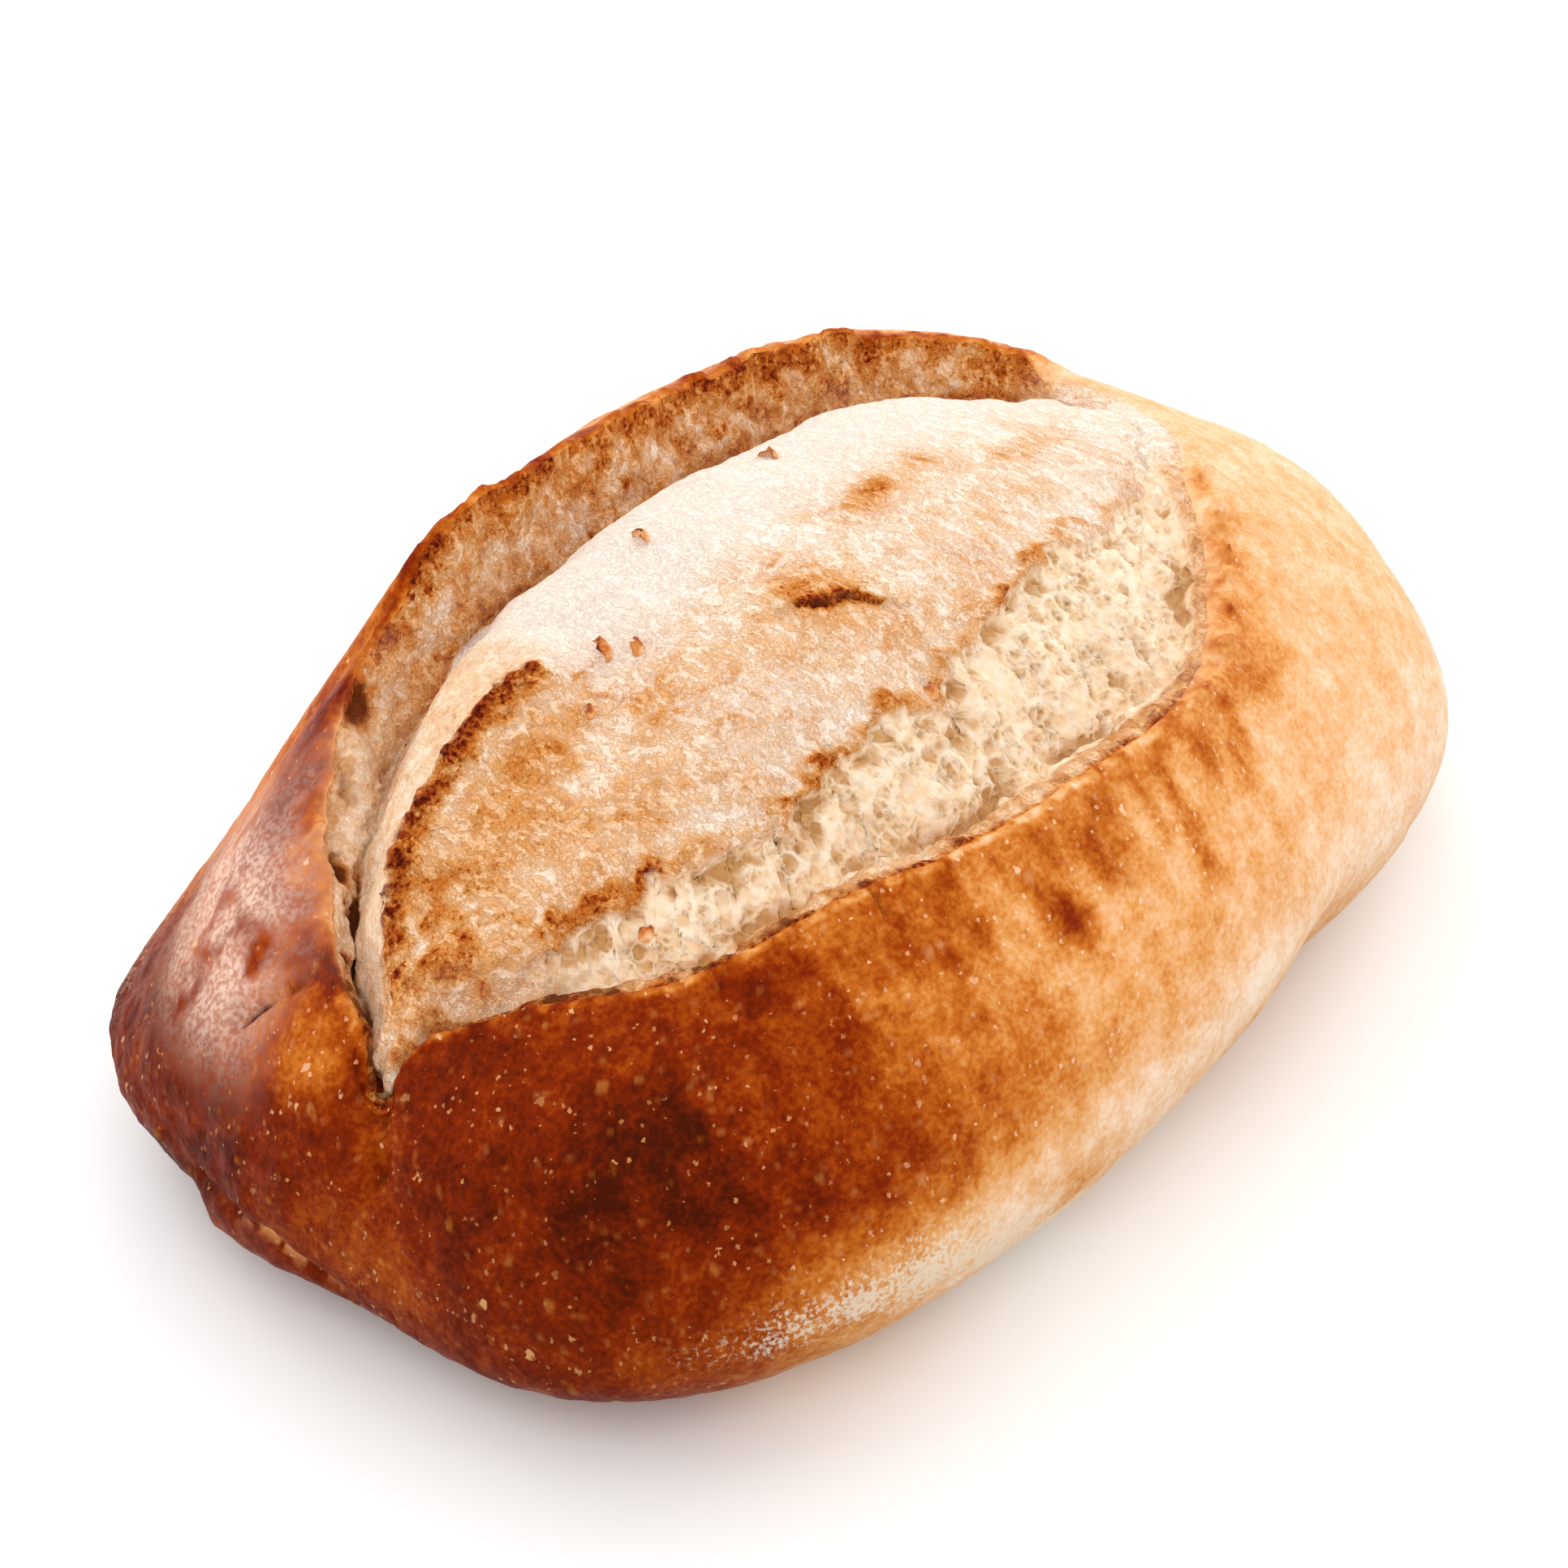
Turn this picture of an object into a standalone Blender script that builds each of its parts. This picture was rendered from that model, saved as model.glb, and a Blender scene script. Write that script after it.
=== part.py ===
"""A crusty oval loaf, slashed once along the top and torn open in the oven, on its flat underside.

X runs along the loaf, with the pointed end of the slash at -X. The raised ear of crust is on the +Y side.
Every ring of points goes once round the loaf. The rings run from the middle of the pale top, down into
the groove beside the slash, up its wall to the lip, over the crust to the waist and in to the flat base.
"""

import bpy
import numpy as np

MM = 0.001
RNG_SEED = 11

# The browned body
HALF_LENGTH = 0.135
HALF_WIDTH = 0.0885
PLAN_ROUND = 2.6
CROWN = 0.1035
CROWN_DROP = 0.0095
CROWN_ROUND = 1.75
SIDE_WAIST, END_WAIST = 0.031, 0.016
SIDE_TUCK, END_TUCK = 0.19, 0.15

# Where the top's rings shrink to a line
SPINE_START, SPINE_END, SPINE_Y = -0.060, 0.045, -0.004

# Lip of the slash, as x, y and height in mm, from the pointed end along the front and back by the ear
LIP = [
    (-119.5, 1, 46.5), (-112.5, -4, 55), (-104, -17, 62), (-90, -36, 68), (-77, -45, 72.5),
    (-60, -52.5, 75), (-43, -59, 75), (-20, -63.5, 74.5), (8, -66, 73), (28, -63, 73),
    (44, -54, 76), (58, -42, 80), (72, -26, 80), (80, -10, 77), (79, 4, 78), (75.5, 12, 82.5),
    (57, 27, 90), (38, 33.5, 94.5), (17, 37.5, 96.5), (-13, 40, 100), (-47, 43.5, 98.5),
    (-60, 44, 88.5), (-70, 45.5, 79), (-82.5, 40.5, 72), (-92, 34, 68), (-102, 25, 62), (-109, 18, 57),
    (-114, 9, 53),
]
LIP_THICK = 1.5
LIP_FALL, EAR_FALL, EAR_RISE = 0.012, 0.030, 0.010

# Groove inside the lip, by angle round the loaf: width, depth below the lip, reach into the top, in mm
GROOVE = [
    (-180, 3, 3, 4), (-165, 5, 2, 5), (-150, 6, 3, 9), (-120, 8, 4, 12), (-90, 9, 4.5, 14),
    (-60, 8, 4, 12), (-38, 8, 1.5, 9), (-15, 6, 0.8, 8), (0, 6, 3, 9), (12, 7, 9, 11), (35, 7, 17, 8),
    (60, 7, 20, 8), (90, 7, 22, 8), (120, 7, 22, 8), (135, 8, 16, 8),
    (143, 8, 11, 8), (152, 6, 9, 8), (165, 4, 8, 6),
]

# Angle, spread in degrees, and how far the plan outline swells in mm
SWELLS = [
    (136, 11, 4.5), (158, 9, -4.5), (112, 17, -6.0), (-178, 14, -4.0), (-146, 18, 2.0),
    (-58, 10, 1.0), (-36, 9, -2.5), (8, 14, -0.5),
]
# Angle, spread in degrees, and how far the crust sags between lip and waist in mm
SAGS = [(126, 20, 14.0), (14, 10, 2.5)]

# Middle, radius and height of single swellings, in mm
LUMPS = [
    ((-118, 13, 48), 9, 1.8), ((-121, 35, 39), 16, 1.5), ((-126, 30, 8), 9, 4.5),
    ((84, -76, 31), 18, 1.2), ((30, -88, 18), 15, -3.6), ((108, -28, 56), 22, 1.6),
]
# Path, depth and half width of cracks in the crust, in mm
CRACKS = [
    ([(-119, 0, 47), (-122, -2, 43), (-125, -4.5, 38), (-127, -5.5, 34)], 3.0, 2.5),
    ([(-116, 30, 47), (-113, 24, 51), (-109, 18, 57)], 2.0, 2.0),
]
# Torn edge that stands up on the top beside the groove, in mm
RIDGE = [(-60, 11), (-70, 14), (-80, 14.5), (-90, 14), (-97, 12.5), (-104, 8)]
RIDGE_HEIGHT, RIDGE_STEEP, RIDGE_GENTLE = 3.5, 2.5, 10

# Unevenness of crust and of the torn top: size of a bump and its height, in mm
CRUST_BUMPS = (22, 0.5)
TOP_BUMPS = (13, 0.8)

# Rings and columns of the mesh
COLUMNS = 132
END_CROWDING = 0.30
TOP_RINGS, WALL_RINGS, CRUST_RINGS, FOOT_RINGS = 17, 4, 14, 4

CRUST_BROWN = (0.43, 0.17, 0.045, 1.0)


def soft(f):
    """A step from 0 to 1 with a soft start and end."""
    f = np.clip(f, 0, 1)
    return f * f * (3 - 2 * f)


def wrap(angle):
    """The angle, in radians, brought into one turn round zero."""
    return np.mod(angle + np.pi, 2 * np.pi) - np.pi


def smooth_loop(points, count=1440):
    """Points along a smooth closed curve through the given ones."""
    given = np.array(points, float)
    total = len(given)
    steps = np.linspace(0, total, count, endpoint=False)
    i = steps.astype(int)
    f = (steps - i)[:, None]
    a, b, c, d = given[(i - 1) % total], given[i % total], given[(i + 1) % total], given[(i + 2) % total]
    return 0.5 * (2 * b + (c - a) * f + (2 * a - 5 * b + 4 * c - d) * f**2 + (3 * b - a - 3 * c + d) * f**3)


def angle_of(x, y):
    """The angle round the loaf of a point in plan, as a fraction of its length and width."""
    return np.arctan2(y / HALF_WIDTH, x / HALF_LENGTH)


def share_of(x, y):
    """How far out a point lies: 0 at the middle and 1 on the plan outline."""
    return (np.abs(x / HALF_LENGTH) ** PLAN_ROUND + np.abs(y / HALF_WIDTH) ** PLAN_ROUND) ** (1 / PLAN_ROUND)


def keyed(angle, rows):
    """The columns of a table that is keyed by angle, eased between its rows, in metres."""
    table = np.array(rows, float)
    keys = np.radians(table[:, 0])
    keys = np.concatenate([keys - 2 * np.pi, keys, keys + 2 * np.pi])
    i = np.searchsorted(keys, wrap(angle), side="right") - 1
    f = soft((wrap(angle) - keys[i]) / (keys[i + 1] - keys[i]))
    columns = [np.tile(table[:, j], 3) for j in range(1, table.shape[1])]
    return [(value[i] * (1 - f) + value[i + 1] * f) * MM for value in columns]


def bumps(angle, rows):
    """The sum of soft bumps round the loaf, in metres."""
    total = np.zeros_like(angle)
    for middle, spread, height in rows:
        away = np.degrees(wrap(angle - np.radians(middle)))
        total = total + height * MM * np.exp(-((away / spread) ** 2))
    return total


def outline(angle):
    """The widest outline of the loaf in plan."""
    c, s = np.cos(angle), np.sin(angle)
    reach = (np.abs(c) ** PLAN_ROUND + np.abs(s) ** PLAN_ROUND) ** (-1 / PLAN_ROUND)
    reach = reach * (1 + bumps(angle, SWELLS) / 0.12)
    return HALF_LENGTH * reach * c, HALF_WIDTH * reach * s


def waist_height(angle):
    return SIDE_WAIST + (END_WAIST - SIDE_WAIST) * np.cos(angle) ** 2


def crown_height(x):
    """The top of the loaf, which is highest towards the pointed end of the slash."""
    return CROWN - CROWN_DROP * soft((x + 0.050) / 0.115)


def swell_height(x, share, waist):
    """Height of the plain domed body at a share of the way out."""
    return waist + (crown_height(x) - waist) * (1 - np.clip(share, 0, 1) ** CROWN_ROUND) ** (1 / CROWN_ROUND)


def body_height(x, y):
    return swell_height(x, share_of(x, y), waist_height(angle_of(x, y)))


def lip_at(angle):
    """The lip of the slash at each angle round the loaf."""
    points = smooth_loop(LIP) * MM
    found = angle_of(points[:, 0], points[:, 1])
    order = np.argsort(found)
    found = np.concatenate([found[order] + turn for turn in (-2 * np.pi, 0, 2 * np.pi)])
    points = np.tile(points[order], (3, 1))
    return np.stack([np.interp(wrap(angle), found, points[:, j]) for j in range(3)], -1)


def near_path(path, points):
    """Distance from a path, the share of the way along it, and on which side (+1 is its left)."""
    corners = np.array(path, float) * MM
    points = points[..., : corners.shape[1]]
    legs = np.diff(corners, axis=0)
    lengths = np.linalg.norm(legs, axis=1)
    starts = np.concatenate([[0], np.cumsum(lengths)])
    best = np.full(points.shape[:-1], 9.0)
    share = np.zeros(points.shape[:-1])
    side = np.ones(points.shape[:-1])
    for corner, leg, length, start in zip(corners, legs, lengths, starts):
        away = points - corner
        f = np.clip((away @ leg) / length**2, 0, 1)
        off = away - f[..., None] * leg
        distance = np.linalg.norm(off, axis=-1)
        closer = distance < best
        best = np.where(closer, distance, best)
        share = np.where(closer, (start + f * length) / starts[-1], share)
        side = np.where(closer, np.sign(leg[0] * off[..., 1] - leg[1] * off[..., 0]), side)
    return best, share, side


def lattice(cell, seed):
    """A repeatable random value from -1 to 1 for each whole-numbered cell."""
    mixed = cell[..., 0] * 374761393 + cell[..., 1] * 668265263 + cell[..., 2] * 1103515245 + seed * 974634777
    mixed = mixed & 0xFFFFFFFF
    mixed = ((mixed ^ (mixed >> 13)) * 1274126177) & 0xFFFFFFFF
    return ((mixed ^ (mixed >> 16)) & 0xFFFF) / 32767.5 - 1


def noise(points, size, seed):
    """Smooth random bumps of the given size, in metres, from -1 to 1."""
    scaled = points / size
    cell = np.floor(scaled).astype(np.int64)
    f = soft(scaled - cell)
    total = np.zeros(points.shape[:-1])
    for corner in np.ndindex(2, 2, 2):
        weight = np.ones(points.shape[:-1])
        for axis in range(3):
            weight = weight * (f[..., axis] if corner[axis] else 1 - f[..., axis])
        total = total + weight * lattice(cell + np.array(corner), seed)
    return total


def relief(points, on_top):
    """How far lumps, cracks, the torn ridge and plain unevenness move the surface outwards."""
    rise = np.zeros(points.shape[:-1])
    for middle, radius, height in LUMPS:
        apart = ((points - np.array(middle) * MM) ** 2).sum(-1)
        rise = rise + height * MM * np.exp(-apart / (radius * MM) ** 2)
    for path, depth, half_width in CRACKS:
        distance, share, _ = near_path(path, points)
        rise = rise - depth * MM * np.exp(-((distance / (half_width * MM)) ** 2)) * np.clip((1 - share) / 0.4, 0, 1)
    distance, share, side = near_path(RIDGE, points)
    width = np.where(side < 0, RIDGE_STEEP, RIDGE_GENTLE) * MM
    along = np.sin(np.pi * np.clip(share, 0.001, 0.999)) ** 0.6
    rise = rise + on_top * RIDGE_HEIGHT * MM * np.exp(-((distance / width) ** 2)) * along
    for (size, height), where in ((CRUST_BUMPS, 1 - on_top), (TOP_BUMPS, on_top)):
        rise = rise + where * height * MM * noise(points, size * MM, RNG_SEED)
    return rise


def ring_normals(rings):
    """Outward directions on a grid of rings and columns."""
    across = np.roll(rings, -1, 1) - np.roll(rings, 1, 1)
    down = np.gradient(rings, axis=0)
    normal = np.cross(down, across)
    return normal / (np.linalg.norm(normal, axis=2, keepdims=True) + 1e-12)


def loaf_rings():
    """All rings, and a mark per ring for how much of it belongs to the torn top."""
    turn = np.linspace(-np.pi, np.pi, COLUMNS, endpoint=False)
    angle = turn + END_CROWDING * np.sin(turn)
    lip = lip_at(angle)
    inset, depth, reach = keyed(angle, GROOVE)
    out_x, out_y = outline(angle)
    waist = waist_height(angle)
    tuck = SIDE_TUCK + (END_TUCK - SIDE_TUCK) * np.cos(angle) ** 2

    spine_x = SPINE_START + (SPINE_END - SPINE_START) * (np.cos(angle) + 1) / 2
    spine = np.stack([spine_x, np.full_like(spine_x, SPINE_Y)], -1)
    inward = spine - lip[:, :2]
    inward = inward / np.linalg.norm(inward, axis=1, keepdims=True)
    groove = np.concatenate([lip[:, :2] + inward * inset[:, None], (lip[:, 2] - depth)[:, None]], 1)
    ledge = np.minimum(LIP_THICK * MM, 0.4 * inset)
    inner_lip = lip + np.concatenate([inward * ledge[:, None], -0.2 * ledge[:, None]], 1)
    rings, on_top = [], []

    steps = np.linspace(0, 1, TOP_RINGS)
    for f in steps * (1.35 - 0.35 * steps):
        plan = spine * (1 - f) + groove[:, :2] * f
        height = body_height(plan[:, 0], plan[:, 1])
        apart = np.linalg.norm(plan - groove[:, :2], axis=1)
        dip = (groove[:, 2] - body_height(groove[:, 0], groove[:, 1])) * np.exp(-((apart / reach) ** 1.5))
        rings.append(np.concatenate([plan, (height + dip)[:, None]], 1))
        on_top.append(float(f < 0.97))
    for f in np.linspace(0, 1, WALL_RINGS + 1)[1:]:
        rings.append(groove * (1 - f) + inner_lip * f)
        on_top.append(0.0)

    lip_share = np.clip(share_of(lip[:, 0], lip[:, 1]), 0, 0.97)
    lip_body = body_height(lip[:, 0], lip[:, 1])
    raised = lip[:, 2] - lip_body
    fall = LIP_FALL + (EAR_FALL - LIP_FALL) * np.clip(raised / EAR_RISE, 0, 1)
    for f in np.linspace(0, 1, CRUST_RINGS + 1):
        share = np.sin(np.arcsin(lip_share) * (1 - f) + f * np.pi / 2)
        x = (lip[:, 0] / lip_share * (1 - f) + out_x * f) * share
        y = (lip[:, 1] / lip_share * (1 - f) + out_y * f) * share
        height = swell_height(x, share, waist)
        apart = np.sqrt((x - lip[:, 0]) ** 2 + (y - lip[:, 1]) ** 2 + (height - lip_body) ** 2)
        height = height + raised * np.exp(-((apart / fall) ** 1.3)) - bumps(angle, SAGS) * np.sin(np.pi * f)
        rings.append(np.stack([x, y, height], 1))
        on_top.append(0.0)

    for f in np.linspace(0, 1, FOOT_RINGS + 1)[1:]:
        narrow = 1 - tuck * f**2
        rings.append(np.stack([out_x * narrow, out_y * narrow, waist * (1 - f)], 1))
        on_top.append(0.0)
    return np.array(rings), np.array(on_top)


def finished_rings():
    """Rings with their relief. The first stays a line and the last stays flat on the ground."""
    rings, on_top = loaf_rings()
    rise = relief(rings, on_top[:, None] * np.ones(COLUMNS))
    rise[-1] = 0
    moved = rings + ring_normals(rings) * rise[..., None]
    moved[0] = rings[0]
    moved[0, :, 2] += relief(rings[:1], np.ones((1, COLUMNS)))[0]
    moved[..., 2] = np.maximum(moved[..., 2], 0)
    return moved


def mesh_data(rings):
    """Points and faces of the closed loaf. The first ring's two halves share their points."""
    count = rings.shape[1]
    half = count // 2
    shared = [min(k, count - k) for k in range(count)]
    points = [tuple(rings[0, k]) for k in range(half + 1)]
    first = len(points)
    points += [tuple(point) for ring in rings[1:] for point in ring]

    def index(ring, column):
        column %= count
        return shared[column] if ring == 0 else first + (ring - 1) * count + column

    faces = []
    for ring in range(len(rings) - 1):
        for column in range(count):
            corners = [
                index(ring, column), index(ring + 1, column),
                index(ring + 1, column + 1), index(ring, column + 1),
            ]
            faces.append(list(dict.fromkeys(corners)))
    faces.append([index(len(rings) - 1, column) for column in range(count)][::-1])
    return points, faces


def add_material(name, colour, roughness, metallic):
    material = bpy.data.materials.new(name)
    material.use_nodes = True
    shader = material.node_tree.nodes["Principled BSDF"]
    shader.inputs["Base Color"].default_value = colour
    shader.inputs["Roughness"].default_value = roughness
    shader.inputs["Metallic"].default_value = metallic
    return material


def add_loaf():
    rings = finished_rings()
    low, high = rings.reshape(-1, 3).min(0), rings.reshape(-1, 3).max(0)
    rings = rings - np.array([(low[0] + high[0]) / 2, (low[1] + high[1]) / 2, low[2]])
    points, faces = mesh_data(rings)
    mesh = bpy.data.meshes.new("loaf")
    mesh.from_pydata(points, [], faces)
    mesh.validate()
    mesh.update()
    mesh.shade_smooth()
    loaf = bpy.data.objects.new("loaf", mesh)
    mesh.materials.append(add_material("browned crust", CRUST_BROWN, 0.6, 0.0))
    bpy.context.scene.collection.objects.link(loaf)


for thing in list(bpy.data.objects):
    bpy.data.objects.remove(thing, do_unlink=True)
add_loaf()
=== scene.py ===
"""The crusty oval loaf in full detail, on a pale floor under soft light.

The form is the same as the solid's: rings of points that run from the middle of the torn top, down into the
groove, up its wall to the lip, over the crust and in to the flat base. Here the rings are fine enough to
carry blisters, wrinkles, torn crumb and pores as real relief. Marks for baking, crumb, flour and the like
are worked out for each point and read by the materials. Tables hold mm and degrees, and other lengths are
in metres, unless a comment says otherwise. The random patterns take a size in mm, then a seed, then a
number of layers.
"""

import bpy
import numpy as np
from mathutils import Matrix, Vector


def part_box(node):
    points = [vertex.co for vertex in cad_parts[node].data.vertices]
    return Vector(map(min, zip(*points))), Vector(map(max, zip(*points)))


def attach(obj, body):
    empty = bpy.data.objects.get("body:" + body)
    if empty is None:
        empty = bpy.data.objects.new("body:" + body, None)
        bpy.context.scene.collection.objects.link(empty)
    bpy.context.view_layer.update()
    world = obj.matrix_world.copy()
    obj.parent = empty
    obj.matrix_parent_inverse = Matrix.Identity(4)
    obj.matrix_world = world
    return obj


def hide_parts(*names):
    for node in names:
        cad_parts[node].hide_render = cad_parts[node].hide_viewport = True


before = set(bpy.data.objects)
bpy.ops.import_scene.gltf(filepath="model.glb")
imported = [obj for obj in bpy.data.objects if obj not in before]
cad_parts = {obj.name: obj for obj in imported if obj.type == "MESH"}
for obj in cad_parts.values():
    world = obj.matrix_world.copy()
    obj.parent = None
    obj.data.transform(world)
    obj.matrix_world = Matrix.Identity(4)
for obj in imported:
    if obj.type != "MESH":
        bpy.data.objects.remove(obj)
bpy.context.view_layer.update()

MM = 0.001
RNG_SEED = 11

# The browned body
HALF_LENGTH = 0.135
HALF_WIDTH = 0.0885
PLAN_ROUND = 2.6
CROWN = 0.1035
CROWN_DROP = 0.0095
CROWN_ROUND = 1.75
SIDE_WAIST, END_WAIST = 0.031, 0.016
SIDE_TUCK, END_TUCK = 0.19, 0.15

# Where the top's rings shrink to a line
SPINE_START, SPINE_END, SPINE_Y = -0.060, 0.045, -0.004

# Lip of the slash, as x, y and height, from the pointed end along the front and back by the ear
LIP = [
    (-119.5, 1, 46.5), (-112.5, -4, 55), (-104, -17, 62), (-90, -36, 68), (-77, -45, 72.5),
    (-60, -52.5, 75), (-43, -59, 75), (-20, -63.5, 74.5), (8, -66, 73), (28, -63, 73),
    (44, -54, 76), (58, -42, 80), (72, -26, 80), (80, -10, 77), (79, 4, 78), (75.5, 12, 82.5),
    (57, 27, 90), (38, 33.5, 94.5), (17, 37.5, 96.5), (-13, 40, 100), (-47, 43.5, 98.5),
    (-60, 44, 88.5), (-70, 45.5, 79), (-82.5, 40.5, 72), (-92, 34, 68), (-102, 25, 62), (-109, 18, 57),
    (-114, 9, 53),
]
LIP_THICK = 1.5
# More width on the far part of the front lip, and how round the strip of crumb inside the lip is
BROAD_LIP = 2.6
STRIP_ROUND = 1.8
LIP_FALL, EAR_FALL, EAR_RISE = 0.012, 0.030, 0.010

# Groove inside the lip, by angle round the loaf: width, depth below the lip, reach into the top
GROOVE = [
    (-180, 3, 3, 4), (-165, 5, 2, 5), (-150, 6, 3, 9), (-120, 8, 4, 12), (-90, 9, 4.5, 14),
    (-60, 8, 4, 12), (-38, 8, 1.5, 9), (-15, 6, 0.8, 8), (0, 6, 3, 9), (12, 7, 9, 11), (35, 7, 17, 8),
    (60, 7, 20, 8), (90, 7, 22, 8), (120, 7, 22, 8), (135, 8, 16, 8),
    (143, 8, 11, 8), (152, 6, 9, 8), (165, 4, 8, 6),
]

# Angle, spread, and how far the plan outline swells
SWELLS = [
    (136, 11, 4.5), (158, 9, -4.5), (112, 17, -6.0), (-178, 14, -4.0), (-146, 18, 2.0),
    (-58, 10, 1.0), (-36, 9, -2.5), (8, 14, -0.5),
]
# Angle, spread, and how far the crust sags between lip and waist
SAGS = [(126, 20, 14.0), (14, 10, 2.5)]

# Middle, radius and height of single swellings
LUMPS = [
    ((-118, 13, 48), 9, 1.8), ((-121, 35, 39), 16, 1.5), ((-126, 30, 8), 9, 4.5),
    ((84, -76, 31), 18, 1.2), ((30, -88, 18), 15, -3.6), ((108, -28, 56), 22, 1.6),
]
# Path, depth and half width of cracks in the crust
CRACKS = [
    ([(-119, 0, 47), (-122, -2, 43), (-125, -4.5, 38), (-127, -5.5, 34)], 3.0, 2.5),
    ([(-116, 30, 47), (-113, 24, 51), (-109, 18, 57)], 2.0, 2.0),
]
FINE_CRACKS = [
    ([(-118, 30, 45), (-115, 26, 49), (-111, 22, 54), (-108, 17, 57)], 2.2, 1.0),
    ([(-120, 0, 46), (-123, -3, 41), (-125, -4.5, 37), (-126, -5, 34)], 2.5, 1.0),
    ([(-126, -5, 34), (-128, -1, 31), (-129, 3, 29), (-131, 8, 23)], 1.0, 0.6),
    ([(-19, -65, 74), (-20.5, -69, 70), (-22, -74, 64), (-21, -80, 55)], 0.9, 0.5),
    ([(-60, -51, 75.5), (-61, -54, 74), (-62.5, -57, 71)], 0.9, 0.5),
]
# Tear above the folded foot
FOOT_TEAR = [(-127, 33, 19), (-129.5, 26, 19.5), (-131.5, 14, 19.5), (-131.5, 6, 16.5), (-130.5, -3, 14)]
# Torn edge that stands up on the top beside the groove
RIDGE = [(-60, 11), (-70, 14), (-80, 14.5), (-90, 14), (-97, 12.5), (-104, 8)]
RIDGE_END = [(-111, 4)]
RIDGE_HEIGHT, RIDGE_STEEP, RIDGE_GENTLE = 3.5, 2.5, 10

# Size and height of the plain unevenness
CRUST_BUMPS = (22, 0.5)
TOP_BUMPS = (13, 0.8)

# Rings and columns of the fine mesh, and how far they crowd towards the ends and the groove
COLUMNS = 860
END_CROWDING = 0.30
TOP_CROWDING = 0.35
TOP_RINGS, WALL_RINGS, LEDGE_RINGS, CRUST_RINGS, FOOT_RINGS, BASE_RINGS = 80, 24, 4, 76, 16, 6
# Hidden rings on which the two pieces meet: rings in from the seam, and how deep under the surface
MEETING = [(5, 0.5), (10, 0.9), (16, 1.4), (24, 2.4), (30, 4.0), (44, 6.0)]
CORE = (-0.008, 0.0, 0.030)
# How near the sides of the solid's box points are squeezed
SQUEEZE_ROOM = 0.0012

# Where the baked skin of the top ends and bare crumb begins, from the pointed end to the far one
CRUMB_EDGE = [
    (-113, 4), (-108, 1), (-102, -6), (-92, -17), (-82, -25), (-74, -30), (-63, -34), (-55, -37),
    (-46, -38), (-37, -39), (-25, -42), (-19, -39), (-2, -38), (18, -35), (34, -35), (52, -32), (70, -16),
]
# Baked patches on the top: middle x and y, half size along x and y, turn, and how much darker
PATCHES = [
    (-88, -2, 22, 13, 0, 0.20), (-72, -18, 20, 10, -25, 0.20), (-33, -17, 15, 8, -20, 0.24),
    (-22, -28, 12, 8, 0, 0.12), (3, -10, 16, 4, 8, 0.26), (40, -14, 13, 3.5, 5, 0.24),
    (-52, -2, 12, 7, 20, 0.14), (-8, -33, 9, 6, 0, 0.12), (22, -24, 16, 6, 0, 0.10), (62, -2, 10, 6, 0, 0.10),
    (-70, 4, 12, 7, 10, 0.14), (-88, 4, 12, 7, 0, 0.16), (-98, 0, 8, 7, 0, 0.06),
]
TOP_CRACK = [(-33, -17), (-29, -19.5), (-25, -21.5), (-20, -27)]
# The way the fibres of the torn skin run
FIBRE_TURN = 34
# Standing flakes on the top: x, y, width, height, turn
FLAKES = [
    (-54, 4, 3.4, 3.2, 60), (-51, -1, 2.8, 2.0, 20), (-32, 13, 3.4, 2.2, 80), (2, 12, 4.0, 1.8, 100),
    (-26, -40, 3.0, 2.0, 10), (-64, -1, 3.0, 1.3, 40), (-84, -27, 3.4, 1.7, -20),
]
FLAKE_ROWS, FLAKE_COLUMNS = 7, 9
FLAKE_SUNK = 0.35

# Parts of the top along x, from where each begins to where it is full, in metres
LEFT_WALL = (-0.056, -0.074)
LEFT_BAND = (-0.050, -0.066)
TIP = (-0.080, -0.094)
TIP_SKIN = (-0.090, -0.101)
FAR_CRUMB = (0.045, 0.072)

# How baked each part is, from 0, pale, to 1, near black, how much more the top of the ear is, and how dark
# the painted shadow in the deep holes is
SKIN_BAKE, RIDGE_BAKE, EAR_BAKE, EAR_TOP_DARKER, STRIP_BAKE, HOLE_SHADE = 0.14, 0.68, 0.28, 0.28, 0.40, 0.9
BACK_BAKE, EAR_LIP_BAKE, FAR_LIP_BAKE = 0.46, 0.72, 0.47
# The same for the crust and for the front lip, by x
BAKE_ALONG = [
    (-135, 0.84), (-108, 0.83), (-94, 0.79), (-78, 0.69), (-63, 0.55), (-45, 0.46), (-20, 0.40),
    (10, 0.36), (35, 0.32), (75, 0.31), (135, 0.28),
]
LIP_BAKE = [
    (-120, 0.80), (-90, 0.74), (-60, 0.60), (-20, 0.50), (10, 0.51), (46, 0.52), (58, 0.42), (72, 0.30),
]
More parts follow.
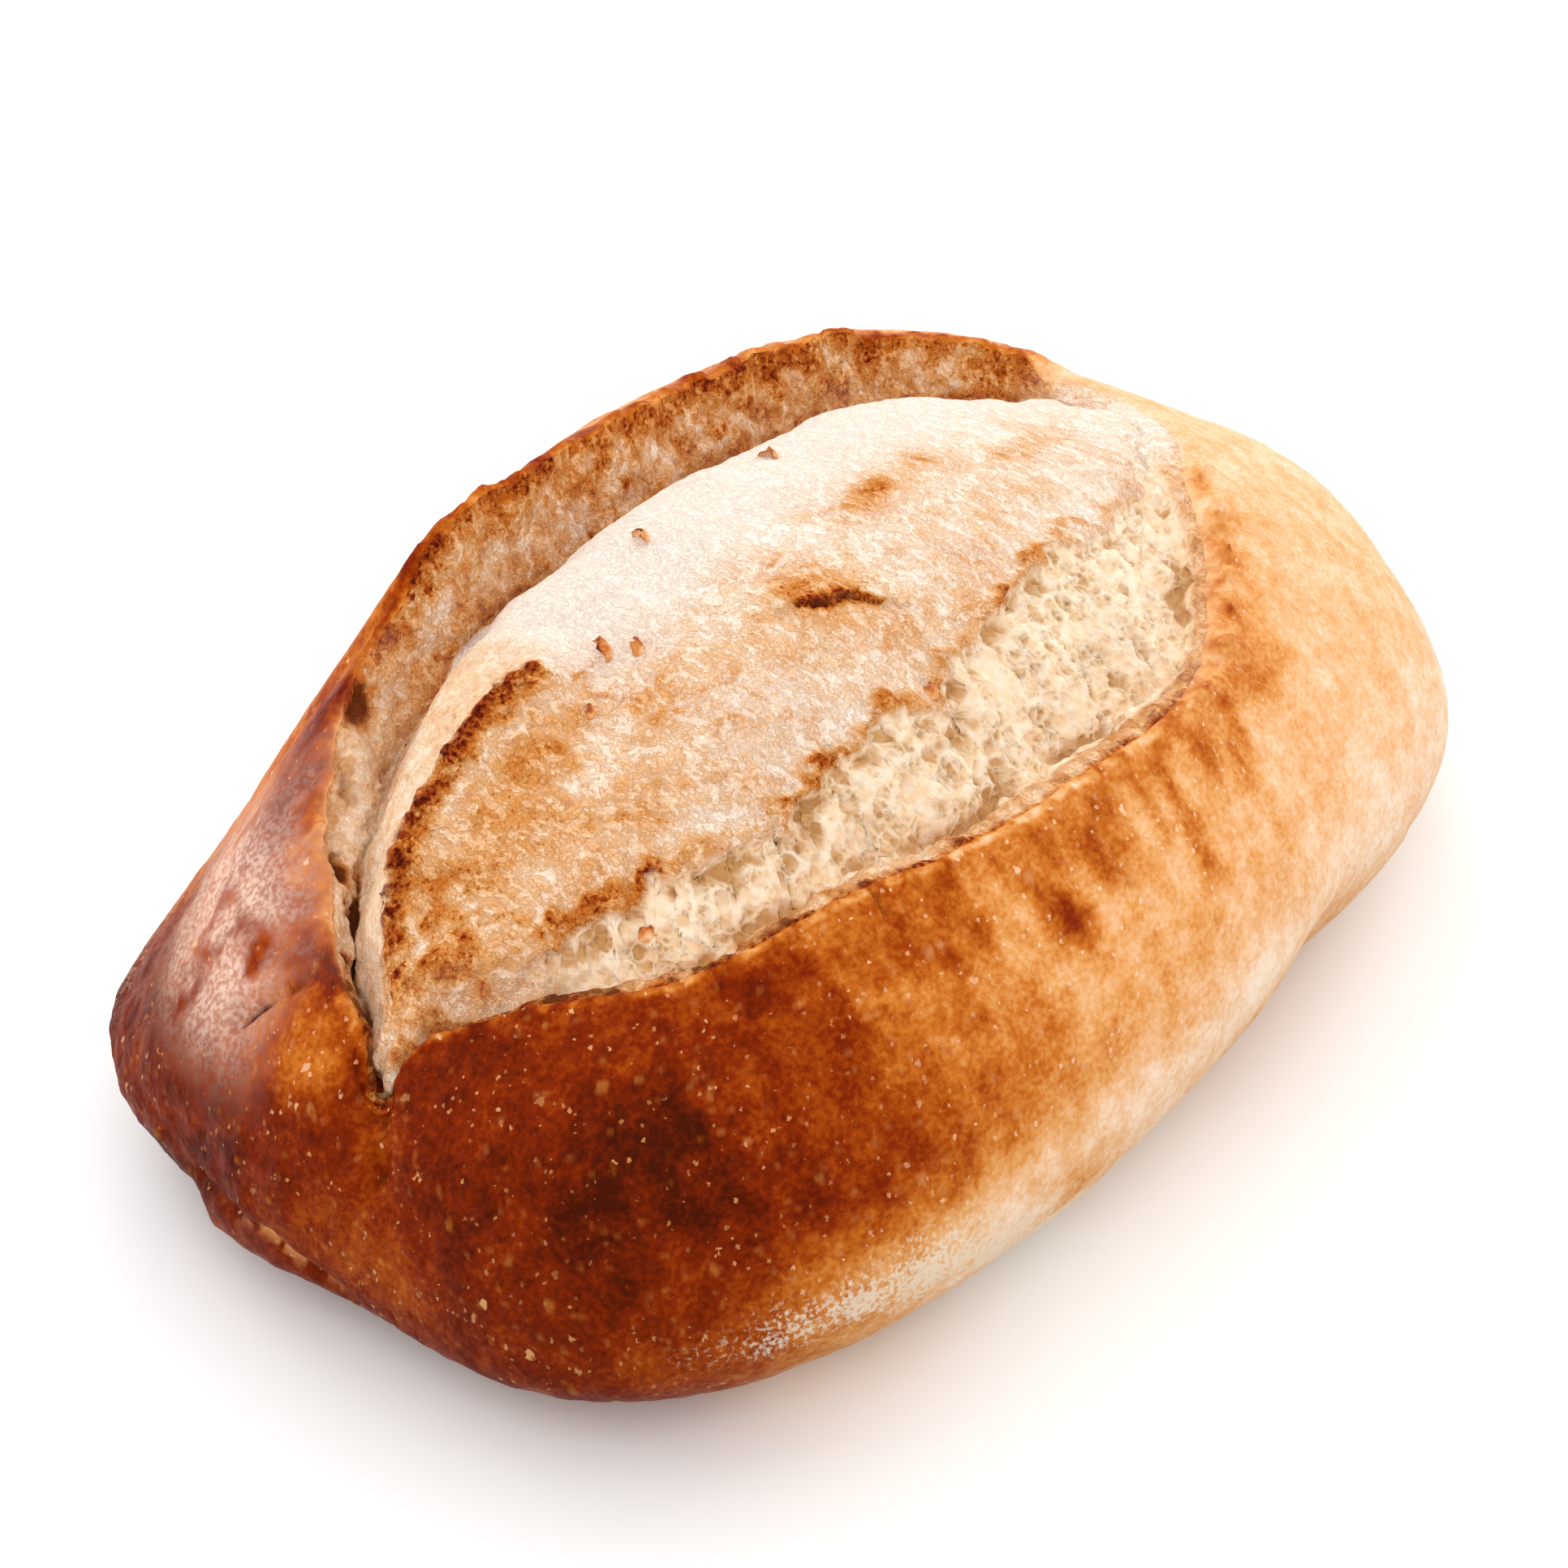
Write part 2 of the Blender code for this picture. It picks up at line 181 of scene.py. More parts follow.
# Dark and light places on the crust: middle, half sizes in x, y and z, and how much darker
BROWN_PLACES = [
    ((-113, -47, 46), (24, 26, 18), 0.10), ((-36, -73, 63), (4, 5, 9), 0.34),
    ((-3.5, -78, 59), (2.8, 5, 7), 0.26), ((14, -75, 62), (3, 5, 8), 0.16),
    ((-127, 18, 34), (12, 14, 9), 0.05), ((-118, 12, 50), (8, 8, 8), -0.20),
    ((-122, -2, 42), (4, 4, 8), -0.14), ((-24, -70, 68), (8, 8, 8), 0.12),
    ((-50, -66, 68), (10, 9, 9), 0.10), ((-128, 28, 9), (9, 14, 6), -0.14),
    ((10, -70, 68), (10, 7, 7), 0.08), ((-97, 42, 60), (18, 14, 12), 0.18),
    ((-74, 50, 76), (18, 9, 13), 0.24), ((34, -66, 70), (16, 8, 7), 0.10),
    ((92, -72, 26), (26, 16, 13), -0.12), ((45, -87, 32), (28, 10, 12), -0.13),
    ((4, -88, 30), (16, 9, 8), -0.12), ((-50, -84, 25), (13, 9, 9), 0.24),
    ((-130, -6, 25), (10, 14, 10), -0.12), ((-117, -59, 21), (16, 14, 8), -0.08),
]
# Flour on the crust: middle, half sizes and amount
FLOUR_PLACES = [
    ((-114, -61, 24), (7, 6, 4), 0.25), ((-104, -69, 25), (9, 7, 4.5), 0.62),
    ((-93, -75, 26), (10, 8, 5), 0.72), ((-80, -79, 25), (12, 8, 7), 0.85),
    ((-66, -82, 21), (12, 9, 6), 0.90), ((-53, -83, 15), (12, 9, 4.5), 0.90),
    ((-40, -82, 11), (10, 9, 4), 0.50), ((50, -85, 33), (14, 8, 8), 0.20),
    ((20, -88, 26), (16, 8, 7), 0.22), ((-60, 80, 24), (60, 12, 7), 0.55),
    ((60, 82, 24), (60, 12, 7), 0.55), ((128, 10, 20), (14, 40, 6), 0.50),
    ((112, -50, 26), (16, 16, 9), 0.25), ((84, -76, 26), (18, 10, 9), 0.30),
]
# Deep holes in the groove, painted dark as shadow: middle and radius
DARK_PITS = [((-70, 43, 75.5), 3.6), ((-92, 29, 61), 2.2), ((-96, 25, 59), 1.4), ((-103, 19, 55), 1.4)]

# Camera, in the frame in which the form was measured, in metres
CAMERA_PLACE = (-0.4526, -0.3167, 0.4609)
CAMERA_AIM = (-0.0154, -0.0031, 0.0450)
CAMERA_LENS = 91.12
SENSOR_WIDTH = 36.0

# Windows of soft light: place, aim and size in metres, power in watts, and colour
LIGHTS = {
    "window behind": ((0.35, 0.75, 0.75), (0, 0, 0.04), (1.0, 0.8), 3.8, (1, 1, 1)),
    "window right": ((0.95, -0.15, 0.55), (0.05, 0, 0.04), (0.7, 0.7), 4.0, (1, 1, 1)),
    "window front": ((-0.75, -0.45, 0.95), (0, 0, 0.05), (0.9, 0.9), 3.4, (1.0, 0.97, 0.93)),
    "window left": ((-0.55, 0.75, 0.55), (-0.05, 0, 0.05), (0.6, 0.6), 1.2, (1, 1, 1)),
}
ROOM_COLOUR = (1.0, 0.99, 0.98, 1.0)
ROOM_LIGHT = 0.93
FLOOR_SIZE = 8


def soft(f):
    """A step from 0 to 1 with a soft start and end."""
    f = np.clip(f, 0, 1)
    return f * f * (3 - 2 * f)


def between(value, low, high):
    """A soft step from 0 at low to 1 at high."""
    return soft((value - low) / (high - low))


def hump(distance, width):
    """1 at no distance, falling to about a third at the width."""
    return np.exp(-((distance / width) ** 2))


def place_share(points, middle, radii):
    """1 at the middle of a round place on the loaf, falling to about a third at its radii."""
    return np.exp(-(((points - np.array(middle) * MM) / (np.array(radii) * MM)) ** 2).sum(-1))


def wrap(angle):
    """The angle, in radians, brought into one turn round zero."""
    return np.mod(angle + np.pi, 2 * np.pi) - np.pi


def smooth_loop(points, count=2880):
    """Points along a smooth closed curve through the given ones."""
    given = np.array(points, float)
    total = len(given)
    steps = np.linspace(0, total, count, endpoint=False)
    i = steps.astype(int)
    f = (steps - i)[:, None]
    a, b, c, d = given[(i - 1) % total], given[i % total], given[(i + 1) % total], given[(i + 2) % total]
    return 0.5 * (2 * b + (c - a) * f + (2 * a - 5 * b + 4 * c - d) * f**2 + (3 * b - a - 3 * c + d) * f**3)


def angle_of(x, y):
    """The angle round the loaf of a point in plan, as a fraction of its length and width."""
    return np.arctan2(y / HALF_WIDTH, x / HALF_LENGTH)


def share_of(x, y):
    """How far out a point lies: 0 at the middle and 1 on the plan outline."""
    return (np.abs(x / HALF_LENGTH) ** PLAN_ROUND + np.abs(y / HALF_WIDTH) ** PLAN_ROUND) ** (1 / PLAN_ROUND)


def keyed(angle, rows):
    """The columns of a table that is keyed by angle, eased between its rows, in metres."""
    table = np.array(rows, float)
    keys = np.radians(table[:, 0])
    keys = np.concatenate([keys - 2 * np.pi, keys, keys + 2 * np.pi])
    i = np.searchsorted(keys, wrap(angle), side="right") - 1
    f = soft((wrap(angle) - keys[i]) / (keys[i + 1] - keys[i]))
    columns = [np.tile(table[:, j], 3) for j in range(1, table.shape[1])]
    return [(value[i] * (1 - f) + value[i + 1] * f) * MM for value in columns]


def along_x(x, rows):
    """A level from a table keyed by x."""
    table = np.array(rows, float)
    return np.interp(x / MM, table[:, 0], table[:, 1])


def bumps(angle, rows):
    """The sum of soft bumps round the loaf, in metres."""
    total = np.zeros_like(angle)
    for middle, spread, height in rows:
        total += height * MM * hump(np.degrees(wrap(angle - np.radians(middle))), spread)
    return total


def outline(angle):
    """The widest outline of the loaf in plan."""
    c, s = np.cos(angle), np.sin(angle)
    reach = (np.abs(c) ** PLAN_ROUND + np.abs(s) ** PLAN_ROUND) ** (-1 / PLAN_ROUND)
    reach *= 1 + bumps(angle, SWELLS) / 0.12
    return HALF_LENGTH * reach * c, HALF_WIDTH * reach * s


def waist_height(angle):
    return SIDE_WAIST + (END_WAIST - SIDE_WAIST) * np.cos(angle) ** 2


def crown_height(x):
    """The top of the loaf, which is highest towards the pointed end of the slash."""
    return CROWN - CROWN_DROP * soft((x + 0.050) / 0.115)


def swell_height(x, share, waist):
    """Height of the plain domed body at a share of the way out."""
    return waist + (crown_height(x) - waist) * (1 - np.clip(share, 0, 1) ** CROWN_ROUND) ** (1 / CROWN_ROUND)


def body_height(x, y):
    return swell_height(x, share_of(x, y), waist_height(angle_of(x, y)))


def lip_at(angle):
    """The lip of the slash at each angle round the loaf."""
    points = smooth_loop(LIP) * MM
    found = angle_of(points[:, 0], points[:, 1])
    order = np.argsort(found)
    found = np.concatenate([found[order] + turn for turn in (-2 * np.pi, 0, 2 * np.pi)])
    points = np.tile(points[order], (3, 1))
    return np.stack([np.interp(wrap(angle), found, points[:, j]) for j in range(3)], -1)


def near_path(path, points):
    """Distance from a path, the share of the way along it, and on which side (+1 is its left)."""
    corners = np.array(path, float) * MM
    points = points[..., : corners.shape[1]]
    legs = np.diff(corners, axis=0)
    lengths = np.linalg.norm(legs, axis=1)
    starts = np.concatenate([[0], np.cumsum(lengths)])
    best = np.full(points.shape[:-1], 9.0)
    share = np.zeros(points.shape[:-1])
    side = np.ones(points.shape[:-1])
    for corner, leg, length, start in zip(corners, legs, lengths, starts):
        away = points - corner
        f = np.clip((away @ leg) / length**2, 0, 1)
        off = away - f[..., None] * leg
        distance = np.linalg.norm(off, axis=-1)
        closer = distance < best
        best = np.where(closer, distance, best)
        share = np.where(closer, (start + f * length) / starts[-1], share)
        side = np.where(closer, np.sign(leg[0] * off[..., 1] - leg[1] * off[..., 0]), side)
    return best, share, side


def lattice(cell, seed):
    """A repeatable random value from -1 to 1 for each whole-numbered cell."""
    mixed = cell[..., 0] * 374761393 + cell[..., 1] * 668265263 + cell[..., 2] * 1103515245 + seed * 974634777
    mixed = mixed & 0xFFFFFFFF
    mixed = ((mixed ^ (mixed >> 13)) * 1274126177) & 0xFFFFFFFF
    return ((mixed ^ (mixed >> 16)) & 0xFFFF) / 32767.5 - 1


def noise(points, size, seed):
    """Smooth random bumps of the given size, in metres, from -1 to 1."""
    scaled = points / size
    cell = np.floor(scaled).astype(np.int64)
    f = soft(scaled - cell)
    total = np.zeros(points.shape[:-1])
    for corner in np.ndindex(2, 2, 2):
        weight = np.ones(points.shape[:-1])
        for axis in range(3):
            weight *= f[..., axis] if corner[axis] else 1 - f[..., axis]
        total += weight * lattice(cell + np.array(corner), seed)
    return total


def rough(points, size, seed, layers=3):
    """Noise with finer layers on top, from about -1 to 1."""
    total = np.zeros(points.shape[:-1])
    for layer in range(layers):
        total += 0.55**layer * noise(points, np.array(size) * MM / 2**layer, seed + 17 * layer)
    return total * 0.75


def cells(points, size, seed):
    """Random cells: distance to the nearest seed point, to the second, and the nearest cell's value."""
    scaled = points / (np.array(size) * MM)
    home = np.floor(scaled).astype(np.int64)
    first = np.full(points.shape[:-1], 9.0)
    second = np.full(points.shape[:-1], 9.0)
    value = np.zeros(points.shape[:-1])
    for step in np.ndindex(3, 3, 3):
        cell = home + np.array(step) - 1
        middle = cell + 0.5 + 0.45 * np.stack([lattice(cell, seed + k) for k in range(3)], -1)
        distance = np.linalg.norm(scaled - middle, axis=-1)
        closer = distance < first
        second = np.where(closer, first, np.minimum(second, distance))
        value = np.where(closer, lattice(cell, seed + 7), value)
        first = np.where(closer, distance, first)
    return first, second, value


def turned(points, degrees):
    """Points turned about the upright axis, so that stretched noise runs another way."""
    c, s = np.cos(np.radians(degrees)), np.sin(np.radians(degrees))
    x, y, z = points[..., 0], points[..., 1], points[..., 2]
    return np.stack([x * c + y * s, y * c - x * s, z], -1)


def plain_relief(points, on_top):
    """The relief that the solid has too: lumps, cracks, the torn ridge and plain unevenness."""
    rise = np.zeros(points.shape[:-1])
    for middle, radius, height in LUMPS:
        rise += height * MM * place_share(points, middle, radius)
    for path, depth, half_width in CRACKS:
        distance, share, _ = near_path(path, points)
        rise -= depth * MM * hump(distance, half_width * MM) * np.clip((1 - share) / 0.4, 0, 1)
    distance, share, side = near_path(RIDGE, points)
    width = np.where(side < 0, RIDGE_STEEP, RIDGE_GENTLE) * MM
    along = np.sin(np.pi * np.clip(share, 0.001, 0.999)) ** 0.6
    rise += on_top * RIDGE_HEIGHT * MM * hump(distance, width) * along
    for (size, height), where in ((CRUST_BUMPS, 1 - on_top), (TOP_BUMPS, on_top)):
        rise += where * height * MM * noise(points, size * MM, RNG_SEED)
    return rise


def ring_normals(rings):
    """Outward directions on a grid of rings and columns."""
    across = np.roll(rings, -1, 1) - np.roll(rings, 1, 1)
    down = np.gradient(rings, axis=0)
    normal = np.cross(down, across)
    return normal / (np.linalg.norm(normal, axis=2, keepdims=True) + 1e-12)


def ear_share(angle):
    """1 where the lip is the raised ear and 0 elsewhere."""
    return between(np.degrees(angle), 3, 12) * (1 - between(np.degrees(angle), 158, 174))


def far_share(angle):
    """1 at the far end, where the slash runs out and the lip fades away."""
    return between(np.degrees(angle), -46, -32) * (1 - between(np.degrees(angle), -2, 7))


def torn_lip(lip, angle):
    """The lip with its ragged edge: it wanders in plan and in height, most of all on the ear."""
    on_ear = ear_share(angle)
    amount = (0.55 + 0.75 * on_ear) * (1 - 0.8 * far_share(angle))
    outward = lip[:, :2] / np.linalg.norm(lip[:, :2], axis=1, keepdims=True)
    wander = rough(lip, 7, 301) * amount * MM
    step = cells(lip, 9, 311)[2] * 0.5 * on_ear * MM
    moved = lip.copy()
    moved[:, :2] += outward * wander[:, None]
    moved[:, 2] += (rough(lip, 6, 302) * amount * 0.7 * MM) + step - 0.5 * MM * on_ear
    return moved


def loaf_rings():
    """All rings of the fine loaf, what each belongs to, how far along that it is, and the columns' angles."""
    turn = np.linspace(-np.pi, np.pi, COLUMNS, endpoint=False)
    angle = turn + END_CROWDING * np.sin(turn)
    lip = lip_at(angle)
    inset, depth, reach = keyed(angle, GROOVE)
    front = 1 - ear_share(angle)
    inset *= 1 + (0.30 * rough(lip, 8, 331) + 0.16 * rough(lip, 2.6, 332, 2)) * front
    out_x, out_y = outline(angle)
    waist = waist_height(angle)
    tuck = SIDE_TUCK + (END_TUCK - SIDE_TUCK) * np.cos(angle) ** 2

    spine_x = SPINE_START + (SPINE_END - SPINE_START) * (np.cos(angle) + 1) / 2
    spine = np.stack([spine_x, np.full_like(spine_x, SPINE_Y)], -1)
    inward = spine - lip[:, :2]
    inward = inward / np.linalg.norm(inward, axis=1, keepdims=True)
    groove = np.concatenate([lip[:, :2] + inward * inset[:, None], (lip[:, 2] - depth)[:, None]], 1)
    broad_lip = between(lip[:, 0], 0.000, 0.030) * front * (1 - far_share(angle))
    ledge = np.minimum((LIP_THICK + BROAD_LIP * broad_lip) * MM, 0.55 * inset)
    torn = torn_lip(lip, angle)
    inner_lip = torn + np.concatenate([inward * ledge[:, None], -0.2 * ledge[:, None]], 1)
    steepness = 1 + STRIP_ROUND * front
    rings, kinds, places = [], [], []

    def add(ring, kind, place):
        rings.append(ring)
        kinds.append(kind)
        places.append(place)

    steps = np.linspace(0, 1, TOP_RINGS)
    for f in steps * (1 + TOP_CROWDING - TOP_CROWDING * steps):
        plan = spine * (1 - f) + groove[:, :2] * f
        height = body_height(plan[:, 0], plan[:, 1])
        apart = np.linalg.norm(plan - groove[:, :2], axis=1)
        dip = (groove[:, 2] - body_height(groove[:, 0], groove[:, 1])) * np.exp(-((apart / reach) ** 1.5))
        add(np.concatenate([plan, (height + dip)[:, None]], 1), "top", f)
    for f in np.linspace(0, 1, WALL_RINGS + 1)[1:]:
        ring = groove * (1 - f) + inner_lip * f
        climb = 1 - (1 - f) ** steepness
        ring[:, 2] = groove[:, 2] + (inner_lip[:, 2] - groove[:, 2]) * climb
        add(ring, "wall", f)
    for f in np.linspace(0, 1, LEDGE_RINGS + 1)[1:]:
        rounded = inner_lip * (1 - f) + torn * f
        rounded[:, 2] += 0.35 * MM * np.sin(np.pi * f)
        add(rounded, "ledge", f)

    lip_share = np.clip(share_of(lip[:, 0], lip[:, 1]), 0, 0.97)
    lip_body = body_height(lip[:, 0], lip[:, 1])
    raised = lip[:, 2] - lip_body
    fall = LIP_FALL + (EAR_FALL - LIP_FALL) * np.clip(raised / EAR_RISE, 0, 1)
    for f in np.linspace(0, 1, CRUST_RINGS + 1)[1:]:
        share = np.sin(np.arcsin(lip_share) * (1 - f) + f * np.pi / 2)
        x = (lip[:, 0] / lip_share * (1 - f) + out_x * f) * share
        y = (lip[:, 1] / lip_share * (1 - f) + out_y * f) * share
        height = swell_height(x, share, waist)
        apart = np.sqrt((x - lip[:, 0]) ** 2 + (y - lip[:, 1]) ** 2 + (height - lip_body) ** 2)
        height += raised * np.exp(-((apart / fall) ** 1.3)) - bumps(angle, SAGS) * np.sin(np.pi * f)
        ring = np.stack([x, y, height], 1) + (torn - lip) * np.exp(-apart / 0.004)[:, None]
        add(ring, "crust", f)

    for f in np.linspace(0, 1, FOOT_RINGS + 1)[1:]:
        narrow = 1 - tuck * f**2
        add(np.stack([out_x * narrow, out_y * narrow, waist * (1 - f)], 1), "foot", f)
    for f in np.linspace(0, 1, BASE_RINGS + 1)[1:-1]:
        narrow = (1 - tuck) * (1 - f)
        add(np.stack([out_x * narrow, out_y * narrow, 0 * out_x], 1), "base", f)
    return np.array(rings), np.array(kinds), np.array(places), angle


def crumb_pores(bent):
    """The web of strands between the crumb's pores, the pores, and a few larger ones."""
    first, second, value = cells(bent, (2.3, 3.6, 2.6), 411)
    web = np.exp(-((second - first) / 0.14))
    pit = (1 - web) * (0.25 + 0.75 * between(value, -0.5, 0.7))
    first, _, value = cells(bent, (4.6, 7.0, 5.0), 421)
    return web, pit, between(0.52 - first, 0.0, 0.30) * between(value, 0.25, 0.8)


def patch_bake(x, y):
    """How much darker the baked patches make the top."""
    total = np.zeros_like(x)
    for middle_x, middle_y, half_x, half_y, turn, darker in PATCHES:
        c, s = np.cos(np.radians(turn)), np.sin(np.radians(turn))
        dx, dy = x / MM - middle_x, y / MM - middle_y
        along, across = (dx * c + dy * s) / half_x, (dy * c - dx * s) / half_y
        total += darker * np.exp(-(along**2 + across**2))
    return total


def dark_pits(points, lumpy):
    """1 in the deep holes of the groove, where dark shadow is painted."""
    hole = np.zeros(points.shape[:-1])
    for middle, radius in DARK_PITS:
        apart = np.linalg.norm((points - np.array(middle) * MM) / (1, 1, 1.5), axis=-1) + 0.8 * MM * lumpy
        hole = np.maximum(hole, hump(apart, radius * MM))
    return hole


def top_marks(points, wall, ear, far, edge_away, bottom_away):
    """Marks for the torn top and the groove's wall, and the fine relief that goes with them, in metres."""
    x, y = points[..., 0], points[..., 1]
    bent = points + 2.5 * MM * rough(points, 14, 400, 2)[..., None]
    along_fibre = turned(bent, FIBRE_TURN)
    fibre = rough(along_fibre, (1.9, 3.8, 2.6), 402)
    fine = rough(along_fibre, (1.2, 2.2, 1.4), 403, 2)
    broad = rough(points, 9, 401)
    lumpy = rough(points, 4, 404, 2)
    lumps = rough(points, (5, 5, 6), 431)
    grains = cells(points, 1.9, 461)[2]
    ear_wall = wall * ear
    left_wall = between(x, *LEFT_WALL) * wall
    strip = (1 - ear) * (1 - far) * wall
    tip = between(x, *TIP) * (y > -0.004)
    tip_skin = between(x, *TIP_SKIN) * (y < 0.004)

    # Bare crumb past the edge of the skin, on the strip inside the lip, and thinly on the ear's wall
    distance, _, side = near_path(CRUMB_EDGE, points)
    beyond = -side * distance + (2.2 * broad + 1.9 * lumpy + 0.7 * fine) * MM
    bare = between(beyond, -0.3 * MM, 0.6 * MM) * (1 - 0.75 * between(x, *FAR_CRUMB)) * (1 - far)
    strip_bare = between(edge_away, 1.5 * MM, 3.5 * MM) * 0.35
    strip_bare = np.maximum(strip_bare, between(edge_away + 1.4 * MM * lumpy, 5.0 * MM, 8.0 * MM))
    strip_bare = strip_bare * (1 - 0.35 * between(-x, 0.055, 0.080)) * (1 - 0.9 * tip_skin)
    ear_bare = between(edge_away + 2.0 * MM * lumpy, 7 * MM, 15 * MM) * between(broad + 0.35, 0.0, 0.7) * 0.12
    left_bare = 0.5 * left_wall * between(edge_away + 0.8 * MM * lumpy, 0.4 * MM, 2.2 * MM)
    bare = bare * (1 - wall) * (1 - 0.95 * tip_skin) + strip * strip_bare
    bare += ear_wall * np.maximum(ear_bare, left_bare)

    # The torn ridge, and the pale band between it and the groove
    distance, share, side = near_path(RIDGE + RIDGE_END, points)
    left_band = between(-side * distance + 1.0 * MM * lumpy, 0.5 * MM, 2.5 * MM)
    left_band = left_band * between(x, *LEFT_BAND) * (y > 0) * (1 - wall)
    bare = np.maximum(bare, 0.50 * left_band)
    ridge_side = np.where(side > 0, 4.6, 1.9) * MM
    ridge_line = np.maximum(distance + (1.6 * lumpy + 1.0 * fine - 0.4) * MM, 0)
    ridge = hump(ridge_line, ridge_side) * between(share, -0.02, 0.06)
    ridge = ridge * (1 - 0.6 * between(share, 0.75, 1.0)) * (1 - wall)

    # Pores and hollows of the crumb and along the foot of the groove: sunk, and given painted shade through
    # the hollow mark
    web, pit, large_pit = crumb_pores(bent)
    edge_hole = hump(beyond - 2.3 * MM, 1.5 * MM) * between(lumpy + 0.2 * broad, 0.0, 0.45)
    hollow = np.clip(0.48 * pit + 0.38 * large_pit + 0.7 * edge_hole * (1 - wall), 0, 1)
    gutter = hump(bottom_away, 3.0 * MM) * (1 - far) * (1 - ear)
    gutter *= between(lumpy + 0.5 * broad + 0.10, -0.1, 0.4)
    hollow = np.maximum(hollow, 0.8 * gutter) * (1 - 0.7 * between(x, 0.036, 0.066))

    # How baked the skin is
    plate_first, plate_second, plate = cells(along_fibre, (7, 13, 9), 441)
    plate_edge = np.exp(-((plate_second - plate_first) / 0.10))
    bake = SKIN_BAKE + 0.10 * broad + 0.05 * lumpy + 0.025 * np.tanh(2.4 * fibre) + 0.05 * fine + 0.05 * plate
    bake += 0.10 * plate_edge * between(broad + 0.2 * lumpy, 0.0, 0.4)
    bake += patch_bake(x, y) * (0.75 + 0.5 * broad)
    bake -= 0.20 * between(y, -0.008, 0.012) * between(x, -0.066, -0.050)
    bake -= 0.06 * between(x, 0.010, 0.060)
    skin_edge = hump(beyond + 1.2 * MM, 1.5 * MM) * (beyond < 0.8 * MM) * (1 - between(x, 0.03, 0.06))
    bake += 0.26 * skin_edge * (0.8 + 0.6 * broad) * (1 - 0.6 * tip_skin)
    bake += (0.10 + 0.14 * lumpy + 0.10 * fine) * tip_skin
    bake = np.maximum(bake, (RIDGE_BAKE + 0.22 * fine + 0.18 * lumpy + 0.18 * grains) * ridge)

    # How baked the ear's wall and the strip inside the lip are
    ear_top = between(edge_away + (2.6 * lumpy + 1.2 * broad) * MM, 11 * MM, 0.8 * MM)
    ear_top = ear_top * ear * (1 - 0.75 * left_wall)
    ear_bake = EAR_BAKE + 0.12 * broad + 0.26 * lumpy + 0.09 * grains
    ear_bake += (EAR_TOP_DARKER + 0.18 * lumpy) * ear_top**1.4
    ear_bake += 0.08 * between(x, -0.015, 0.010) * between(0.050 - x, 0.0, 0.020)
    orange = 0.08 * between(x, -0.005, 0.025)
    strip_bake = STRIP_BAKE + (0.06 + 0.1 * lumpy) * tip_skin + orange
    strip_bake += (0.13 + orange) * between(edge_away, 5.0 * MM, 1.2 * MM)
    strip_bake += 0.20 * lumpy + 0.10 * fine + 0.12 * grains
    bake = bake * (1 - wall) + wall * (ear * ear_bake + (1 - ear) * (strip_bake * (1 - far) + bake * far))
    bare *= 1 - 0.9 * ear_top * wall * (1 - left_wall)

    flour = 0.75 * between(y, -0.012, 0.010) * between(x, -0.064, -0.050) + 0.32 + 0.4 * broad
    flour = np.clip(flour, 0, 1) * (1 - bare) * (1 - between(bake, 0.25, 0.5)) * (1 - wall)

    # The crack on the top, the dark pits, and the notch where the wall meets the top near the pointed end
    # The crack, the pits and the notch are painted dark as shadow, with brown shade around the crack
    crack, share, side = near_path(TOP_CRACK, points + 0.5 * MM * lumpy[..., None])
    crack_width = 0.65 * MM * np.sin(np.pi * np.clip(share, 0.02, 0.98))
    gap = hump(crack, crack_width + 1e-5)
    bake += 0.42 * hump(crack, 2.4 * crack_width + 1e-5)
    flap = hump(crack, 5 * MM) * (side > 0)
    flour *= 1 - hump(crack, 3 * MM)
    notch_width = (0.65 + 0.55 * between(-x, 0.100, 0.114) + 0.35 * lumpy) * MM
    notch = hump(bottom_away, notch_width) * between(lumpy + 0.6, 0.0, 0.4)
    hole = np.maximum(dark_pits(points, lumpy), 0.9 * notch * tip)

    # Hollows in the crumbly walls and in the strip inside the lip, which get painted shade, and painted shade
    # at the foot of the ear's wall
    first, _, value = cells(points + 1.2 * MM * lumpy[..., None], (3.2, 3.2, 3.8), 451)
    crumbly = between(0.50 - first, 0.0, 0.35) * between(value, -0.3, 0.6)
    shaded_wall_foot = between(bottom_away + 2.5 * MM * lumpy, 9 * MM, 1 * MM) * ear_wall * (1 - left_wall)
    left_hollow = left_wall * np.clip(0.36 - 0.9 * lumps + 0.25 * grains, 0, 1)
    left_hollow *= between(edge_away, 0.0, 2 * MM)
    strip_hollow = strip * (1 - tip_skin) * np.clip(0.38 + 0.5 * lumpy, 0, 0.6)
    strip_hollow *= between(9 * MM - edge_away, 0.0, 3 * MM)
    deep_hollow = 0.42 * shaded_wall_foot * between(lumps + 0.5, -0.2, 0.8)
    hollow *= np.maximum(bare, 0.35 * ear_wall)
    for other in (0.7 * gap, 0.55 * crumbly * ear_wall * bare, left_hollow, strip_hollow, deep_hollow):
        hollow = np.maximum(hollow, other)
    bake += 0.08 * crumbly * ear_wall + 0.20 * shaded_wall_foot
    bake = bake * (1 - 0.45 * bare * wall) + (0.10 + 0.08 * grains) * left_band * (1 - ridge)

